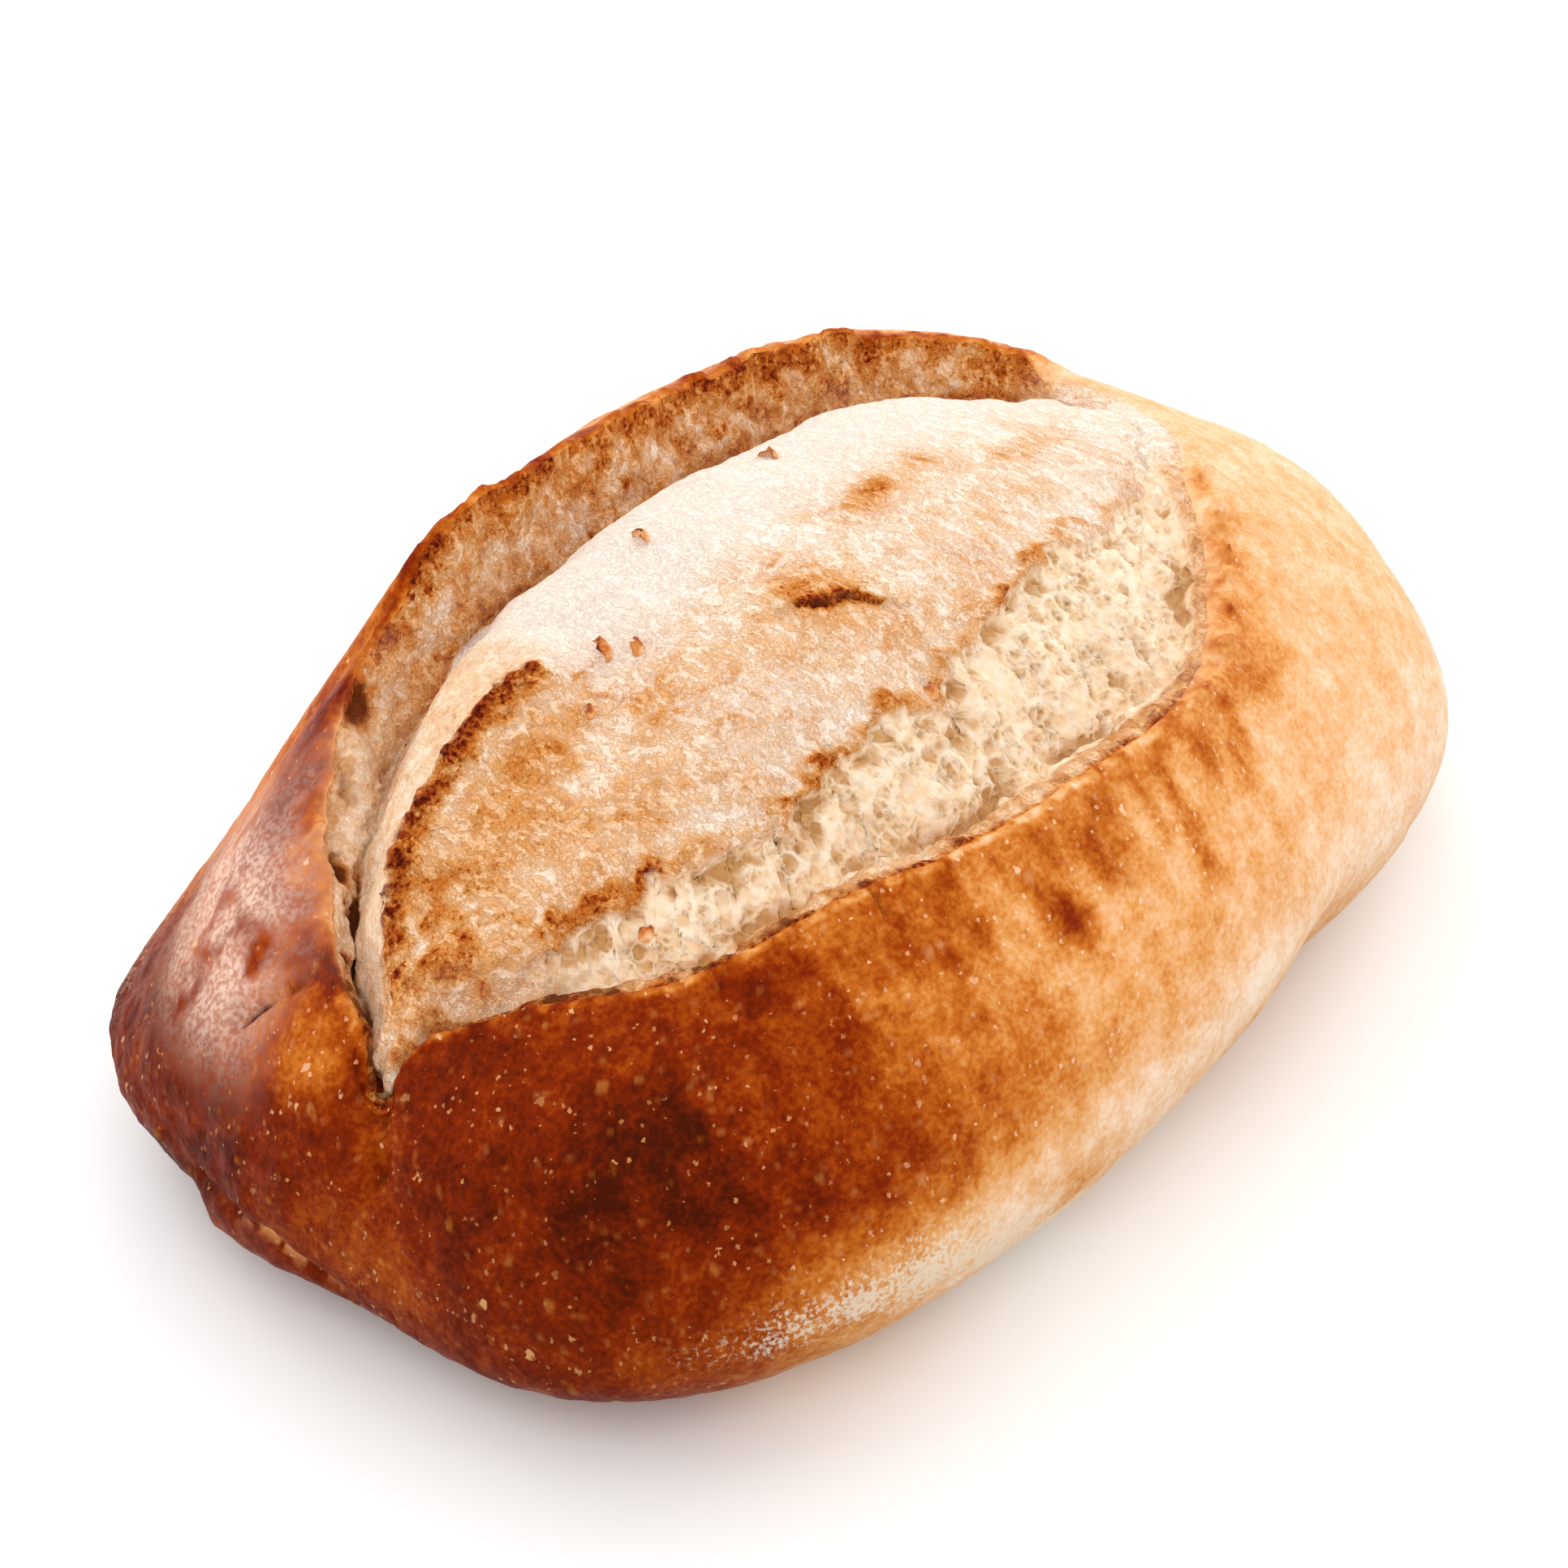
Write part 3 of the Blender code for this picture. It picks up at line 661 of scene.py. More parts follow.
    # Relief, in mm
    rise = bare * (-2.1 * hollow + 0.45 * web + 0.30 * lumpy + 0.15 * fine) * (1 - 0.45 * wall)
    skin = (1 - bare) * (1 - wall)
    rise += skin * (0.20 * fibre + 0.26 * broad + 0.16 * fine + 0.30 * plate * (1 - plate_edge))
    rise += 1.0 * skin_edge * (1 - wall)
    rise -= 0.9 * hump(beyond - 1.6 * MM, 1.3 * MM) * (1 - wall) * (1 - far)
    rise += ridge * (1.0 * np.abs(fine) + 1.0 * lumpy + 0.65 * grains + 0.5)
    rise += 0.9 * flap - 0.4 * gap - 2.5 * hole * (1 - 0.5 * wall)
    ear_rise = (1.3 + 0.5 * left_wall) * lumps + 0.35 * fine - 0.9 * crumbly
    ear_rise += 0.30 * grains * (ear_top + left_wall)
    rise += ear_wall * ear_rise + strip * (0.7 * lumpy + 0.25 * fine + 0.30 * grains)
    marks = {
        "bake": np.maximum(bake, HOLE_SHADE * hole), "bare": bare * (1 - hole),
        "hollow": np.maximum(hollow, hole), "flour": flour, "spot": 0 * x, "ash": 0 * x,
    }
    return marks, rise * MM


def crust_marks(points, edge_away, ear, far, ledge, under):
    """Marks for the browned crust, and the fine relief that goes with them, in metres."""
    x, y, z = points[..., 0], points[..., 1], points[..., 2]
    leaning = turned(turned(points, 31)[..., [1, 2, 0]], 35)
    broad = rough(leaning, 15, 501)
    middling = rough(points, 6, 502)
    fine = rough(points, 2.2, 503, 2)
    hanging = rough(points, (3.2, 6, 13), 504, 2)
    front = between(-y, 0.03, 0.06)
    lobe = between(y, 0.000, 0.022) * between(-x, 0.070, 0.100)
    back = between(y, 0.0, 0.050) * (1 - lobe)

    # How baked the crust is: along the loaf, low down, under the lip and on the lip itself
    bake = along_x(x, BAKE_ALONG) + 0.06 * broad + 0.05 * middling
    bake = bake * (1 - 0.6 * back) + 0.6 * back * (BACK_BAKE + 0.12 * broad)
    front_low = between(0.044 - z, 0.0, 0.014) * between(x, -0.122, -0.092) * (1 - back) * (1 - lobe)
    bake -= 0.35 * front_low * between(0.02 - x, 0.0, 0.08)
    bake -= 0.02 * between(0.055 - z, 0.0, 0.020) * front * between(x, -0.060, -0.020)
    bake += 0.05 * between(0.036 - z, 0.0, 0.016) * front * between(x, -0.060, -0.035)
    bake -= 0.16 * lobe * between(z, 0.036, 0.056)
    for middle, radii, darker in BROWN_PLACES:
        bake += darker * place_share(points, middle, radii) * (1 + 0.35 * middling)
    hanging_place = between(z, 0.030, 0.060) * between(-y, 0.02, 0.05) * between(0.045 - x, 0.0, 0.03)
    bake += 0.10 * hanging * hanging_place
    below_lip = hump(edge_away, 0.012) * between(0.055 - x, 0.0, 0.03) * (1 - ear) * (y < 0)
    bake += (0.12 + 0.10 * hanging) * below_lip * between(x, -0.100, -0.070)
    bake -= 0.06 * between(0.014 - z, 0.0, 0.012)
    lip_level = along_x(x, LIP_BAKE) * (1 - ear) + ear * (EAR_LIP_BAKE + 0.12 * middling)
    broad_lip = between(x, 0.000, 0.030) * (1 - ear)
    near_lip = np.exp(-edge_away / (2.2 * MM + 4.0 * MM * ear + 4.0 * MM * broad_lip)) * (1 - far)
    bake = bake * (1 - near_lip) + near_lip * (lip_level + 0.10 * middling + 0.08 * fine)
    inner = ledge * (1 - ear) * (1 - far)
    bake = bake - 0.10 * inner * (1 - broad_lip) + (0.18 * fine + 0.14 * middling) * inner
    bake = np.maximum(bake, (FAR_LIP_BAKE + 0.18 * fine + 0.16 * middling) * inner * broad_lip)

    # Blisters
    speckle = between(-x, -0.060, 0.040) * (1 - 0.6 * back)
    first, _, value = cells(points, 4.6, 511)
    size = 0.11 + 0.14 * between(value, 0.35, 1.0) + 0.06 * fine
    blister = between(size - first, 0.0, 0.07) * (value > 0.35 - 0.2 * lobe) * speckle
    first, _, value = cells(points, 2.4, 521)
    small = between(0.30 - first, 0.0, 0.12) * (value > 0.25) * speckle

    # Flour low down, and pale dust on the lobe beside the slash's pointed end
    flour = np.zeros_like(x)
    for middle, radii, amount in FLOUR_PLACES:
        flour = np.maximum(flour, amount * place_share(points, middle, radii))
    flour = np.clip(flour * (0.95 + 0.5 * middling + 0.3 * fine), 0, 1)
    flour = np.maximum(flour, 0.45 * under)
    dusty_side = 0.6 * between(0.036 - z, 0.0, 0.010) * between(y, 0.022, 0.036)
    dusty_side = np.maximum(between(y, 0.016, 0.040), dusty_side)
    ash = lobe * dusty_side * between(rough(points, (9, 9, 7), 541) + 0.62, -0.2, 0.7)
    ash = ash * between(z, 0.030, 0.046) * (1.15 - 0.7 * between(z, 0.056, 0.066))

    # Fine cracks, and the tear above the foot, which are sunk and painted dark as the shade inside them
    gap = np.zeros_like(x)
    crooked = points + rough(points, 3, 551, 2)[..., None] * 0.6 * MM
    for path, depth, half_width in FINE_CRACKS:
        distance, share, _ = near_path(path, crooked)
        line = hump(distance, half_width * MM) * np.clip((1 - share) / 0.3, 0, 1)
        gap = np.maximum(gap, line * min(1.0, depth / 1.5))
    foot_tear = near_path(FOOT_TEAR, points)[0] + 0.5 * MM * middling
    tear = hump(foot_tear, 1.5 * MM) * between(y, -0.006, 0.004)
    torn_strip = hump(foot_tear, 1.4 * MM) * between(y, -0.004, 0.008) * between(0.030 - y, 0.0, 0.012)
    torn_strip *= between(fine + 0.5 * middling + 0.25, -0.1, 0.3)
    flap_edge = between(0.019 - z, -0.002, 0.002) * between(y, -0.004, 0.006) * lobe
    bake += 0.04 * flap_edge - 0.42 * torn_strip

    # Relief, in mm
    crease = rough(turned(points, -25), (12, 3.0, 3.4), 561, 2)
    rise = 0.26 * middling + 0.08 * fine + 0.34 * blister + 0.14 * small
    rise -= 0.26 * between(np.abs(crease), 0.14, 0.0) * between(-x, 0.060, 0.100) * (1 - lobe)
    rise += lobe * (0.55 * rough(points, 4.5, 531) + 0.25 * blister)
    uneven = (0.55 + 1.0 * broad_lip) * rough(points, 3, 532, 2) + 0.25 * fine
    rise += (near_lip + 0.7 * inner) * uneven
    rise = rise - 1.8 * gap - 1.9 * tear
    rise = rise * (1 - under) - 0.35 * under * (0.5 + 0.5 * middling)
    spot = np.clip(0.5 * blister + 0.3 * small, 0, 1) * (1 - under)
    marks = {
        "bake": bake, "bare": 0.15 * torn_strip, "flour": flour, "ash": ash,
        "hollow": np.maximum(gap, 0.45 * tear), "spot": spot,
    }
    return marks, rise * MM


def finished_loaf():
    """The fine rings with all relief, the marks of each point, the seam's ring and the plain form's box."""
    rings, kinds, places, angle = loaf_rings()
    everywhere = np.ones(rings.shape[:2])
    wall, on_top, ledge = ((kinds == kind)[:, None] * everywhere for kind in ("wall", "top", "ledge"))
    last = {kind: int(np.flatnonzero(kinds == kind)[-1]) for kind in ("top", "wall", "ledge")}
    seam = last["wall"]
    ear, far = ear_share(angle) * everywhere, far_share(angle) * everywhere
    edge_away = np.linalg.norm(rings - rings[last["ledge"]], axis=2)
    bottom_away = np.linalg.norm(rings - rings[last["top"]], axis=2)
    under = (kinds == "base") + (kinds == "foot") * between(places, 0.93, 1.0)
    under = under[:, None] * everywhere

    direction = ring_normals(rings)
    early = np.clip(1 - np.arange(len(rings)) / 8, 0, 1)[:, None, None]
    direction = direction * (1 - early) + np.array([0, 0, 1]) * early
    moved = rings + direction * plain_relief(rings, on_top)[..., None]
    plain_box = moved.min((0, 1)), moved.max((0, 1))

    top, crust = slice(0, seam + 1), slice(seam, None)
    inner, inner_rise = top_marks(moved[top], wall[top], ear[top], far[top], edge_away[top], bottom_away[top])
    outer, outer_rise = crust_marks(
        moved[crust], edge_away[crust], ear[crust], far[crust], ledge[crust], under[crust]
    )
    meet = np.exp(-np.abs(np.arange(len(rings)) - seam) / 1.6)[:, None]
    inner_rise *= 1 - meet[top]
    outer_rise *= 1 - meet[crust]
    for name in inner:
        joint = (inner[name][-1] + outer[name][0]) / 2
        inner[name] = inner[name] * (1 - meet[top]) + joint * meet[top]
        outer[name] = outer[name] * (1 - meet[crust]) + joint * meet[crust]
    rise = np.concatenate([inner_rise, outer_rise[1:]])
    moved += direction * rise[..., None]
    hidden = [moved[seam - back] - direction[seam - back] * deep * MM for back, deep in MEETING]
    return moved, inner, outer, seam, np.array(hidden), plain_box


def squeezed(values, limit):
    """Values held under a limit, with a soft squeeze over the last bit of room."""
    edge = limit - SQUEEZE_ROOM
    over = values - edge
    return np.where(over > 0, edge + SQUEEZE_ROOM * np.tanh(over / SQUEEZE_ROOM), values)


def fit_box(points, low, high):
    """Points brought inside the solid's box."""
    for axis in range(3):
        points[..., axis] = squeezed(points[..., axis], high[axis])
        if axis < 2:
            points[..., axis] = -squeezed(-points[..., axis], -low[axis])
    points[..., 2] = np.maximum(points[..., 2], low[2])
    return points


def add_piece(name, points, faces, material):
    """A smooth-shaded mesh object."""
    mesh = bpy.data.meshes.new(name)
    mesh.from_pydata(points, [], faces)
    mesh.shade_smooth()
    mesh.materials.append(material)
    piece = bpy.data.objects.new(name, mesh)
    bpy.context.scene.collection.objects.link(piece)
    return piece


def add_mark(piece, mark, values):
    """A number from 0 to 1 for each point, which the material reads by its name."""
    attribute = piece.data.attributes.new(mark, "FLOAT", "POINT")
    attribute.data.foreach_set("value", np.clip(values, 0, 1).astype(np.float32))


def add_rings(name, rings, marks, material, seam, halves_meet):
    """A closed mesh from rings, with one end closed on the core point and its edge at the seam kept sharp.

    Where halves meet, the first ring is a line that its two halves share, and the core point is past the last
    ring. Otherwise the core point comes before the first ring, and the last one closes on its own middle.
    """
    total, count = rings.shape[:2]
    index = np.arange(total * count).reshape(total, count)
    if halves_meet:
        column = np.arange(count)
        index[0] = np.minimum(column, (count - column) % count)
    right = np.roll(index, -1, 1)
    quads = np.stack([index[:-1], index[1:], right[1:], right[:-1]], -1).reshape(-1, 4)
    faces = [list(dict.fromkeys(quad)) for quad in quads.tolist()]
    extra = [CORE]
    core_index = np.full(count, total * count)
    end = index[-1] if halves_meet else index[0]
    other = np.roll(end, -1)
    cap = [end, core_index, other] if halves_meet else [other, core_index, end]
    faces += np.stack(cap, -1).tolist()
    if not halves_meet:
        extra.append(rings[-1].mean(0))
        faces += np.stack([index[-1], core_index + 1, np.roll(index[-1], -1)], -1).tolist()
    points = np.concatenate([rings.reshape(-1, 3), np.array(extra)])
    used = np.unique(np.concatenate([np.array(face) for face in faces if len(face) > 2]))
    new_index = np.full(len(points), -1)
    new_index[used] = np.arange(len(used))
    whole_faces = [new_index[face].tolist() for face in faces if len(face) > 2]
    piece = add_piece(name, points[used].tolist(), whole_faces, material)
    for mark, value in marks.items():
        add_mark(piece, mark, np.concatenate([value.reshape(-1), np.zeros(len(extra))])[used])
    mesh = piece.data
    ends = np.empty(len(mesh.edges) * 2, np.int32)
    mesh.edges.foreach_get("vertices", ends)
    on_seam = np.isin(ends.reshape(-1, 2), new_index[index[seam]]).all(axis=1)
    mesh.attributes.new("sharp_edge", "BOOLEAN", "EDGE").data.foreach_set("value", on_seam)
    mesh.update()
    return piece


class Tree:
    """A short way to write a material's nodes. Scales are in cells per metre."""

    def __init__(self, name):
        self.material = bpy.data.materials.new(name)
        self.material.use_nodes = True
        self.nodes = self.material.node_tree.nodes
        self.links = self.material.node_tree.links
        self.shader = self.nodes["Principled BSDF"].inputs
        self.place = self.new("TexCoord").outputs["Object"]

    def put(self, value, socket):
        """Link a socket, or set a value."""
        if isinstance(value, bpy.types.NodeSocket):
            self.links.new(value, socket)
        else:
            socket.default_value = value

    def new(self, kind, inputs=(), **settings):
        """A new node with its settings, and with values or sockets put into its inputs."""
        node = self.nodes.new("ShaderNode" + kind)
        for name, value in settings.items():
            setattr(node, name, value)
        for key, value in dict(inputs).items():
            self.put(value, node.inputs[key])
        return node

    def mark(self, name):
        return self.new("Attribute", attribute_name=name).outputs["Fac"]

    def height(self):
        """How high the point is, in metres."""
        return self.new("SeparateXYZ", {0: self.place}).outputs[2]

    def math(self, kind, a, b=0.0, clamp=False):
        return self.new("Math", {0: a, 1: b}, operation=kind, use_clamp=clamp).outputs[0]

    def add(self, a, b, clamp=False):
        return self.math("ADD", a, b, clamp)

    def times(self, a, b):
        return self.math("MULTIPLY", a, b)

    def ranged(self, value, low, high, out_low=0.0, out_high=1.0):
        """The value's range brought softly to another one."""
        inputs = enumerate((value, low, high, out_low, out_high))
        return self.new("MapRange", inputs, interpolation_type="SMOOTHSTEP").outputs[0]

    def stretched(self, scale, turn=(0, 0, 0), where=None):
        inputs = {"Vector": where or self.place, "Scale": scale, "Rotation": turn}
        return self.new("Mapping", inputs).outputs[0]

    def noise(self, scale, detail=3.0, where=None, roughness=0.55):
        inputs = {"Vector": where or self.place, "Scale": scale, "Detail": detail, "Roughness": roughness}
        return self.new("TexNoise", inputs).outputs["Fac"]

    def warped(self, scale, amount):
        """The place moved by noise, by at most half the amount in metres."""
        noise = self.new("TexNoise", {"Vector": self.place, "Scale": scale, "Detail": 2.0})
        inputs = {0: noise.outputs["Color"], 1: (amount, amount, amount), 2: self.place}
        return self.new("VectorMath", inputs, operation="MULTIPLY_ADD").outputs[0]

    def voronoi(self, scale, feature="F1", where=None):
        inputs = {"Vector": where or self.place, "Scale": scale}
        return self.new("TexVoronoi", inputs, feature=feature).outputs

    def ramp(self, value, stops):
        node = self.new("ValToRGB", {"Fac": value})
        band = node.color_ramp
        while len(band.elements) < len(stops):
            band.elements.new(0.5)
        for element, (place, colour) in zip(band.elements, stops):
            element.position = place
            element.color = colour
        return node.outputs["Color"]

    def blend(self, amount, a, b):
        """A mix of two numbers."""
        return self.new("Mix", {0: amount, 2: a, 3: b}, data_type="FLOAT").outputs[0]

    def mix(self, amount, a, b, kind="MIX"):
        """A mix of two colours."""
        return self.new("Mix", {0: amount, 6: a, 7: b}, data_type="RGBA", blend_type=kind).outputs[2]

    def bump(self, height, distance, strength):
        return self.new("Bump", {"Height": height, "Distance": distance, "Strength": strength}).outputs[0]


def screen(red, green, blue):
    """A colour as a screen shows it, 0 to 255, turned into the renderer's own scale."""
    value = np.array([red, green, blue]) / 255
    linear = np.where(value <= 0.04045, value / 12.92, ((value + 0.055) / 1.055) ** 2.4)
    return (*linear.tolist(), 1.0)


CRUST_COLOURS = [
    (0.00, screen(252, 238, 224)), (0.14, screen(248, 221, 196)), (0.29, screen(238, 188, 142)),
    (0.43, screen(224, 156, 88)), (0.56, screen(199, 112, 36)), (0.69, screen(162, 68, 8)),
    (0.81, screen(127, 36, 2)), (0.92, screen(94, 22, 2)), (1.00, screen(66, 14, 2)),
]
# The third crumb colour is painted shade for the crumb's hollows
CRUMB_PALE, CRUMB_WARM, CRUMB_SHADE = screen(252, 232, 206), screen(248, 218, 180), screen(204, 154, 96)
# Painted shade inside cracks and pits
CRACK_SHADE, PIT_SHADE = screen(66, 26, 8), screen(108, 54, 20)
LOW_DUST, HIGH_DUST = screen(150, 98, 76), screen(236, 200, 180)
# The last of these is a painted highlight on the skin's fibres
CRUST_FLOUR, TOP_FLOUR, FIBRE_HIGHLIGHT = screen(238, 220, 198), screen(250, 232, 218), screen(252, 236, 222)
# Painted shade, multiplied in towards the floor
LOW_SHADE = (0.66, 0.68, 0.65, 1.0)
FLOOR_LIGHT, FLOOR_DARK = screen(250, 250, 250), screen(248, 248, 249)
WARM_GLOSS = (1.0, 0.6, 0.3, 1.0)


def baked_colour(tree, bake):
    return tree.ramp(bake, CRUST_COLOURS)


def speck_layer(tree, scale, share, largest):
    """Round specks in random cells: a share of the cells holds one, each of its own size."""
    where = tree.stretched((1.0, 1.0, 0.75), (0.4, 0, 0), tree.warped(scale * 2.4, 0.75 / scale))
    cell = tree.voronoi(scale, where=where)
    split = tree.new("SeparateColor", {0: cell["Color"]}).outputs
    radius = tree.ranged(split[0], 1 - share, 1.0, 0.0, largest)
    disc = tree.ranged(tree.math("SUBTRACT", radius, cell["Distance"]), 0.0, 0.08)
    return tree.times(disc, tree.ranged(split[1], 0.0, 0.8, 0.35, 1.0))


def crumb_colour(tree, hollow):
    """Pale crumb, with painted shade that makes it warmer and darker in its hollows."""
    light = tree.mix(tree.ranged(tree.noise(420, 1.0), 0.35, 0.65), CRUMB_PALE, CRUMB_WARM)
    return tree.mix(tree.ranged(hollow, 0.18, 0.95, 0.0, 0.95), light, CRUMB_SHADE)


def crust_material():
    """Smooth browned crust with pale specks, flour and a dull sheen, and painted shade in its cracks and
    towards the floor.
    """
    t = Tree("browned crust")
    baked = t.mark("bake")
    grain = t.noise(950)
    mottled = t.noise(230)
    bake = t.add(baked, t.ranged(grain, 0.25, 0.75, -0.06, 0.06))
    bake = t.add(bake, t.ranged(mottled, 0.3, 0.7, -0.045, 0.045))
    colour = baked_colour(t, bake)

    medium = speck_layer(t, 330, 0.30, 0.27)
    small = speck_layer(t, 760, 0.56, 0.31)
    clusters = t.ranged(t.noise(45, 2.0), 0.34, 0.54, 0.40, 1.0)
    clusters = t.times(clusters, t.ranged(t.height(), 0.078, 0.085, 1.0, 0.0))
    speck = t.times(t.math("MAXIMUM", medium, t.times(small, 0.85)), clusters)
    speck = t.times(speck, t.ranged(baked, 0.22, 0.48, 0.25, 0.80))
    speck_tone = t.math("SUBTRACT", t.times(baked, 0.55), 0.08)
    colour = t.mix(speck, colour, baked_colour(t, speck_tone))
    colour = t.mix(t.times(t.mark("spot"), 0.7), colour, baked_colour(t, t.times(baked, 0.6)))

    ash = t.times(t.mark("ash"), t.ranged(grain, 0.35, 0.65, 0.35, 0.95))
    colour = t.mix(ash, colour, t.mix(t.ranged(t.height(), 0.030, 0.052), LOW_DUST, HIGH_DUST))
    # Painted shade: bare crumb darker in its hollows, and cracks and tears dark inside
    colour = t.mix(t.mark("bare"), colour, crumb_colour(t, t.mark("hollow")))
    colour = t.mix(t.ranged(t.mark("hollow"), 0.30, 0.8, 0.0, 0.92), colour, CRACK_SHADE)
    flour = t.mark("flour")
    dusty = t.add(flour, t.ranged(t.noise(1150), 0.32, 0.68, -0.36, 0.32))
    dust = t.times(t.ranged(dusty, 0.22, 0.80, 0.0, 0.85), t.ranged(flour, 0.0, 0.15))
    colour = t.mix(dust, colour, CRUST_FLOUR)
    # Painted shade: the crust darker towards the floor, less so where it is pale
    shade = t.times(t.ranged(t.height(), 0.004, 0.058, 1.0, 0.0), t.ranged(baked, 0.30, 0.60, 0.75, 1.0))
    t.put(t.mix(shade, colour, LOW_SHADE, "MULTIPLY"), t.shader["Base Color"])

    height = t.add(t.times(grain, 0.45), t.times(mottled, 0.8))
    t.put(t.bump(height, 0.0005, 0.85), t.shader["Normal"])
    dull = t.add(t.ranged(mottled, 0.3, 0.7, 0.40, 0.54), t.times(t.math("MAXIMUM", dust, ash), 0.4))
    t.put(t.add(dull, t.ranged(baked, 0.2, 0.5, 0.12, 0.0), True), t.shader["Roughness"])
    t.put(0.07, t.shader["Specular IOR Level"])
    t.put(WARM_GLOSS, t.shader["Specular Tint"])
    return t.material


def top_material():
    """The torn top: baked fibrous skin, bare crumb, flour, with painted highlights on the fibres and painted
    shade in hollows.
    """
    t = Tree("torn top")
    baked, bare, hollow = t.mark("bake"), t.mark("bare"), t.mark("hollow")
    grain = t.noise(1100)
    fibre = t.noise(620, 3.0, t.stretched((1.0, 0.52, 0.8), (0, 0, -0.6), t.warped(90, 0.004)), 0.66)
    fine_fibre = t.noise(1500, 3.0, t.stretched((1.0, 0.7, 0.8), (0, 0, -0.4)), 0.6)
    vein = t.ranged(t.math("ABSOLUTE", t.math("SUBTRACT", fibre, 0.5)), 0.0, 0.045, 1.0, 0.0)
    fine_vein = t.ranged(t.math("ABSOLUTE", t.math("SUBTRACT", fine_fibre, 0.5)), 0.0, 0.06, 1.0, 0.0)
    veins = t.add(vein, t.times(fine_vein, 0.6))
    bake = t.add(baked, t.ranged(fibre, 0.3, 0.7, -0.09, 0.09))
    bake = t.add(bake, t.times(veins, 0.07))
    bake = t.add(bake, t.ranged(grain, 0.55, 0.68, 0.0, 0.15))
    contrast = t.ranged(baked, 0.40, 0.70, 0.0, 0.12)
    bake = t.add(bake, t.times(t.ranged(grain, 0.35, 0.65, -1.0, 1.0), contrast))
    colour = baked_colour(t, bake)
    # Painted highlights: pale streaks along the fine fibres where the skin is pale
    white = t.times(t.ranged(fine_fibre, 0.54, 0.66), t.ranged(t.noise(160, 1.0), 0.45, 0.62))
    white = t.times(white, t.ranged(bake, 0.44, 0.28, 0.0, 0.40))
    colour = t.mix(white, colour, FIBRE_HIGHLIGHT)

    strands = t.warped(260, 0.0016)
    web = t.voronoi(420, "DISTANCE_TO_EDGE", t.stretched((1.0, 0.6, 0.85), (0, 0, -0.3), strands))
    small_web = t.voronoi(850, "F1", strands)
    cell = t.ranged(web["Distance"], 0.02, 0.24)
    small_cell = t.ranged(small_web["Distance"], 0.45, 0.10)
    sunk = t.add(t.times(cell, 0.36), t.times(small_cell, 0.26))
    sunk = t.times(sunk, t.ranged(t.noise(210, 2.0), 0.38, 0.62, 0.25, 1.0))
    # Painted shade: the crumb darker in its pores and hollows, and hollows in the skin dark brown
    colour = t.mix(bare, colour, crumb_colour(t, t.add(hollow, sunk)))
    dark = t.math("SUBTRACT", hollow, bare, clamp=True)
    colour = t.mix(t.ranged(dark, 0.25, 0.8, 0.0, 0.9), colour, PIT_SHADE)
    dusty = t.add(t.mark("flour"), t.ranged(grain, 0.3, 0.7, -0.2, 0.2))
    colour = t.mix(t.ranged(dusty, 0.25, 0.85, 0.0, 0.75), colour, TOP_FLOUR)
    t.put(colour, t.shader["Base Color"])

    rough_skin = t.math("SUBTRACT", fibre, t.times(veins, 0.30))
    rough_skin = t.add(rough_skin, t.times(grain, 0.5))
    crumb_height = t.add(t.times(sunk, -1.4), t.times(grain, 0.35))
    t.put(t.bump(t.blend(bare, rough_skin, crumb_height), 0.0008, 0.75), t.shader["Normal"])
    t.put(t.ranged(grain, 0.3, 0.7, 0.68, 0.88), t.shader["Roughness"])
    t.put(0.1, t.shader["Specular IOR Level"])
    return t.material


def flake_material():
    """Thin curled bits of torn skin, brown at the rim."""
    t = Tree("torn flakes")
    grain = t.noise(900, 4.0)
    bake = t.add(t.mark("bake"), t.ranged(grain, 0.3, 0.7, -0.12, 0.12))
    t.put(baked_colour(t, bake), t.shader["Base Color"])
    t.put(t.bump(grain, 0.0005, 0.7), t.shader["Normal"])
    t.put(t.ranged(grain, 0.3, 0.7, 0.6, 0.8), t.shader["Roughness"])
    return t.material


def grid_faces(grid):
    """Four-sided faces on a grid of point numbers."""
    corners = (grid[:-1, :-1], grid[:-1, 1:], grid[1:, 1:], grid[1:, :-1])
    return np.stack(corners, -1).reshape(-1, 4).tolist()


def flake(number, foot, width, height, turn):
    """Points of one curled plate, as two sheets of rows and columns, and how baked each point is."""
    c, s = np.cos(np.radians(turn)), np.sin(np.radians(turn))
    rows = np.linspace(-FLAKE_SUNK, 1, FLAKE_ROWS)
    side, row, step = np.meshgrid([-0.5, 0.5], rows, np.linspace(-1, 1, FLAKE_COLUMNS), indexing="ij")
    up = np.maximum(row, 0)
    ragged = 0.25 * np.sin(7.3 * step + 2.1 * number) + 0.15 * np.sin(17 * step + number)
    across = step * width / 2 * (1 - 0.45 * up**2)
    rise = height * row * (1 - 0.35 * step**2 + ragged * up * 0.5)
    depth = 0.5 * height * up**1.5 + 0.35 * width * (step**2 - 0.4) + side * 0.7 * (1 - 0.75 * up)
    points = foot + MM * np.stack([across * c - depth * s, across * s + depth * c, rise], -1)
    return points.reshape(-1, 3), (0.34 + 0.26 * up + 0.08 * np.sin(5 * step + number)).reshape(-1)


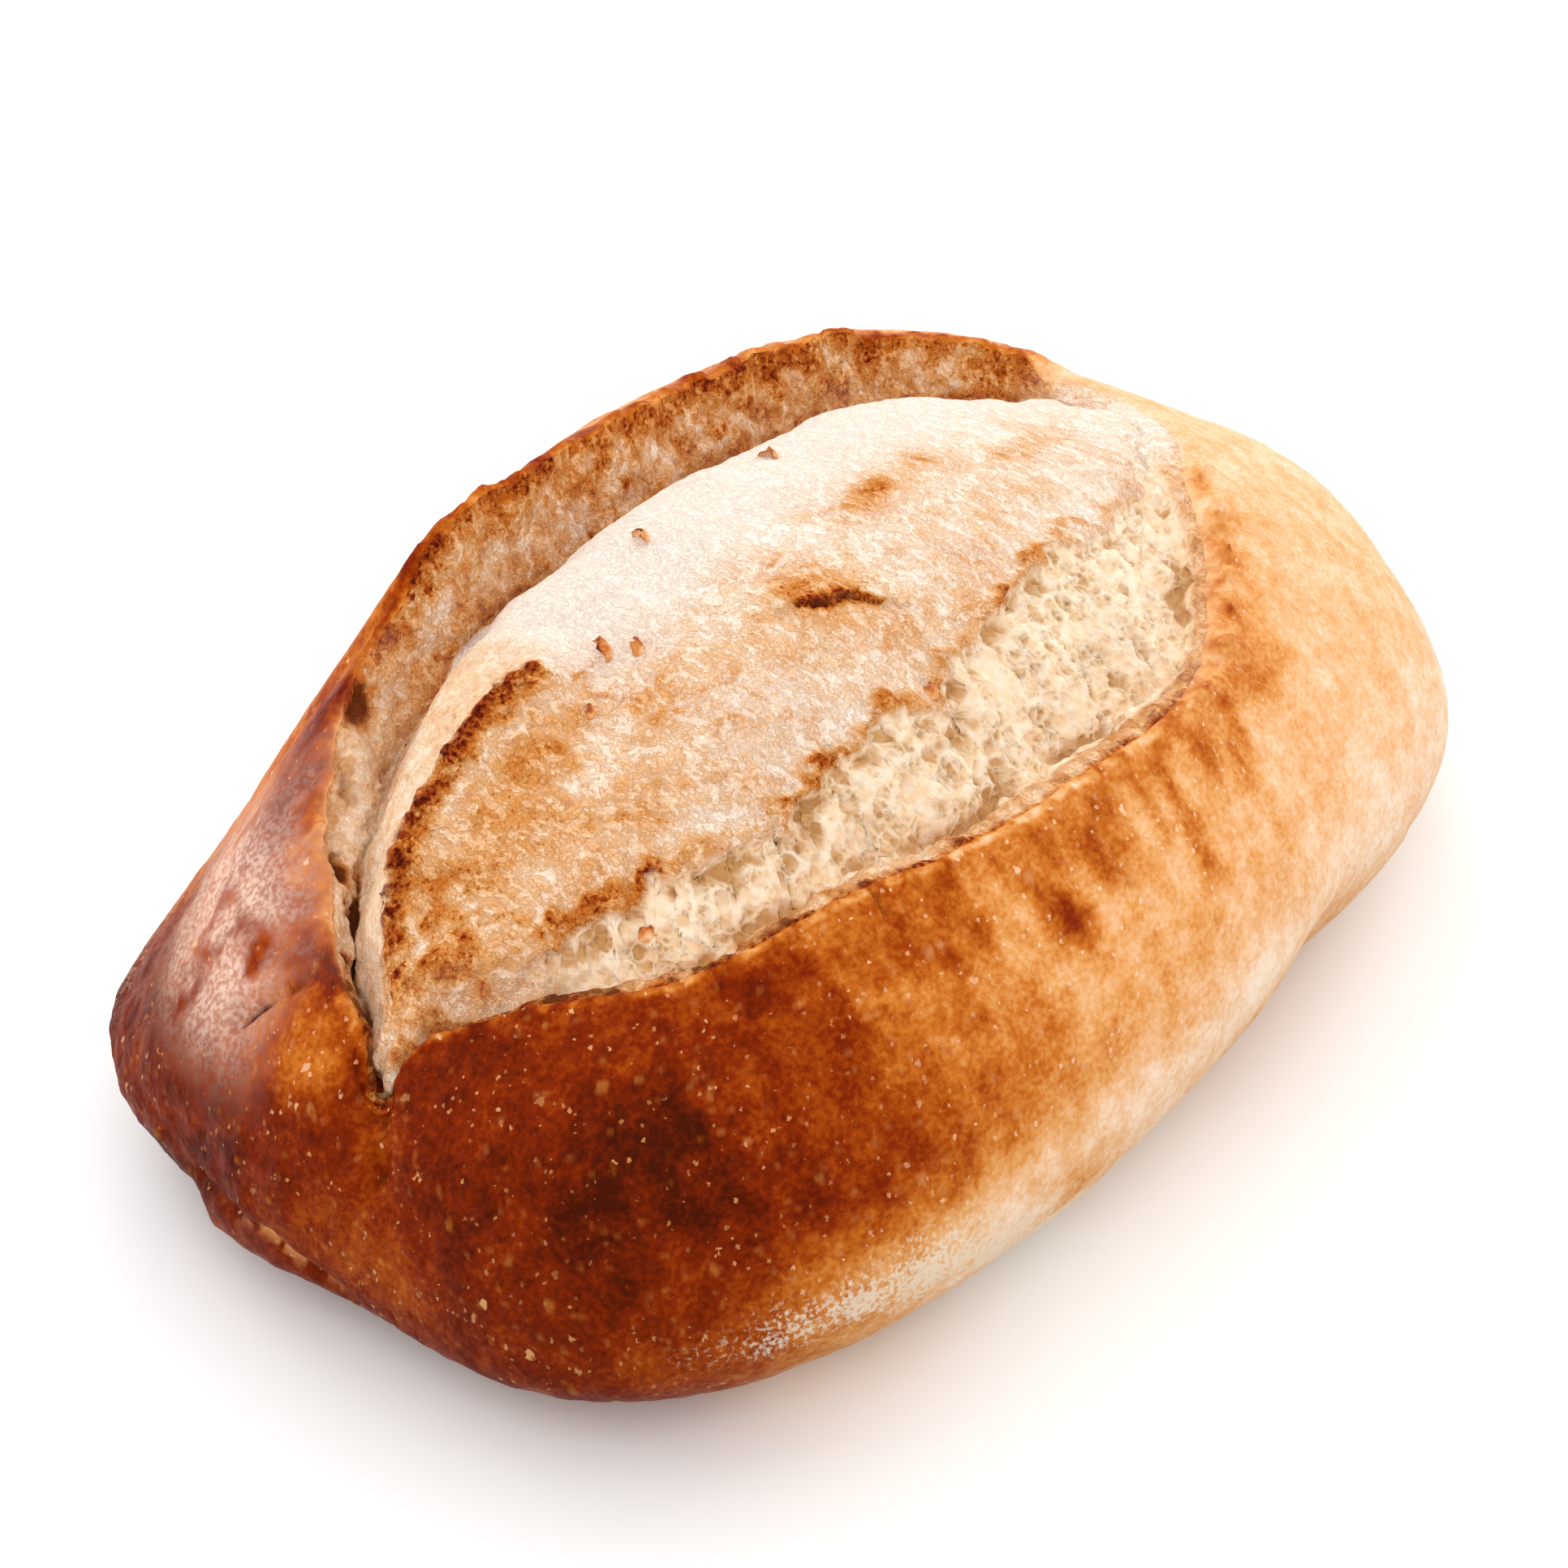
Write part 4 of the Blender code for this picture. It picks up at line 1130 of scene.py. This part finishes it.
def add_flakes(surface, shift, highest):
    """Small curled plates that stand out of the torn top, each a closed thin solid sunk a little into it."""
    flat = surface.reshape(-1, 3)
    points, levels, faces = [], [], []
    for number, (x, y, width, height, turn) in enumerate(FLAKES):
        foot = flat[np.argmin((flat[:, 0] - x * MM) ** 2 + (flat[:, 1] - y * MM) ** 2)]
        plate, level = flake(number, foot, width, height, turn)
        sheet = np.arange(len(plate)).reshape(2, FLAKE_ROWS, FLAKE_COLUMNS) + number * len(plate)
        ends = (sheet[:, :, 0], sheet[:, :, -1].T, sheet[:, 0].T, sheet[:, -1])
        for grid in (sheet[0], sheet[1].T, *ends):
            faces += grid_faces(grid)
        points.append(plate)
        levels.append(level)
    placed = np.concatenate(points) - shift
    placed[:, 2] = np.minimum(placed[:, 2], highest)
    piece = add_piece("torn_flakes", placed.tolist(), faces, flake_material())
    add_mark(piece, "bake", np.concatenate(levels))
    return piece


def add_loaf():
    """The loaf's pieces, moved so that the plain form's footprint stands where the solid's does."""
    rings, inner, outer, seam, hidden, plain_box = finished_loaf()
    low, high = (np.array(corner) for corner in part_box("loaf"))
    shift = (plain_box[0] + plain_box[1]) / 2 - (low + high) / 2
    shift[2] = 0
    placed = fit_box(rings - shift, low, high)
    hidden -= shift
    extra = len(hidden)
    inner = {name: np.concatenate([mark, np.tile(mark[-1:], (extra, 1))]) for name, mark in inner.items()}
    outer = {name: np.concatenate([np.tile(mark[:1], (extra, 1)), mark]) for name, mark in outer.items()}
    top_rings = np.concatenate([placed[: seam + 1], hidden])
    crust_rings = np.concatenate([hidden[::-1], placed[seam:]])
    pieces = (
        add_rings("torn_top", top_rings, inner, top_material(), seam, True),
        add_rings("browned_crust", crust_rings, outer, crust_material(), extra, False),
        add_flakes(rings[: int(TOP_RINGS * 0.97)], shift, high[2]),
    )
    for piece in pieces:
        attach(piece, "root")
        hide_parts("loaf")
    return shift


def add_floor():
    bpy.ops.mesh.primitive_plane_add(size=FLOOR_SIZE, location=(0, 0, 0))
    floor = bpy.context.object
    floor.name = "floor"
    t = Tree("pale floor")
    cloud = t.noise(6, 1.0)
    t.put(t.mix(t.ranged(cloud, 0.3, 0.7), FLOOR_LIGHT, FLOOR_DARK), t.shader["Base Color"])
    t.put(t.ranged(cloud, 0.3, 0.7, 0.75, 0.85), t.shader["Roughness"])
    floor.data.materials.append(t.material)


def look(thing, place, aim):
    """Put a light or camera in its place, facing its aim."""
    thing.location = place
    thing.rotation_euler = (Vector(aim) - Vector(place)).to_track_quat("-Z", "Y").to_euler()
    bpy.context.scene.collection.objects.link(thing)


def add_lights():
    for name, (place, aim, size, power, colour) in LIGHTS.items():
        data = bpy.data.lights.new(name, "AREA")
        data.shape = "RECTANGLE"
        data.size, data.size_y = size
        data.energy = power
        data.color = colour
        look(bpy.data.objects.new(name, data), place, aim)
    world = bpy.data.worlds.new("soft white room")
    world.use_nodes = True
    back = world.node_tree.nodes["Background"]
    back.inputs["Color"].default_value = ROOM_COLOUR
    back.inputs["Strength"].default_value = ROOM_LIGHT
    bpy.context.scene.world = world


def add_camera(shift):
    data = bpy.data.cameras.new("camera")
    data.lens = CAMERA_LENS
    data.sensor_width = SENSOR_WIDTH
    camera = bpy.data.objects.new("camera", data)
    look(camera, Vector(CAMERA_PLACE) - Vector(shift), Vector(CAMERA_AIM) - Vector(shift))
    bpy.context.scene.camera = camera


shift = add_loaf()
add_floor()
add_lights()
add_camera(shift)
bpy.context.scene.view_settings.view_transform = "Standard"
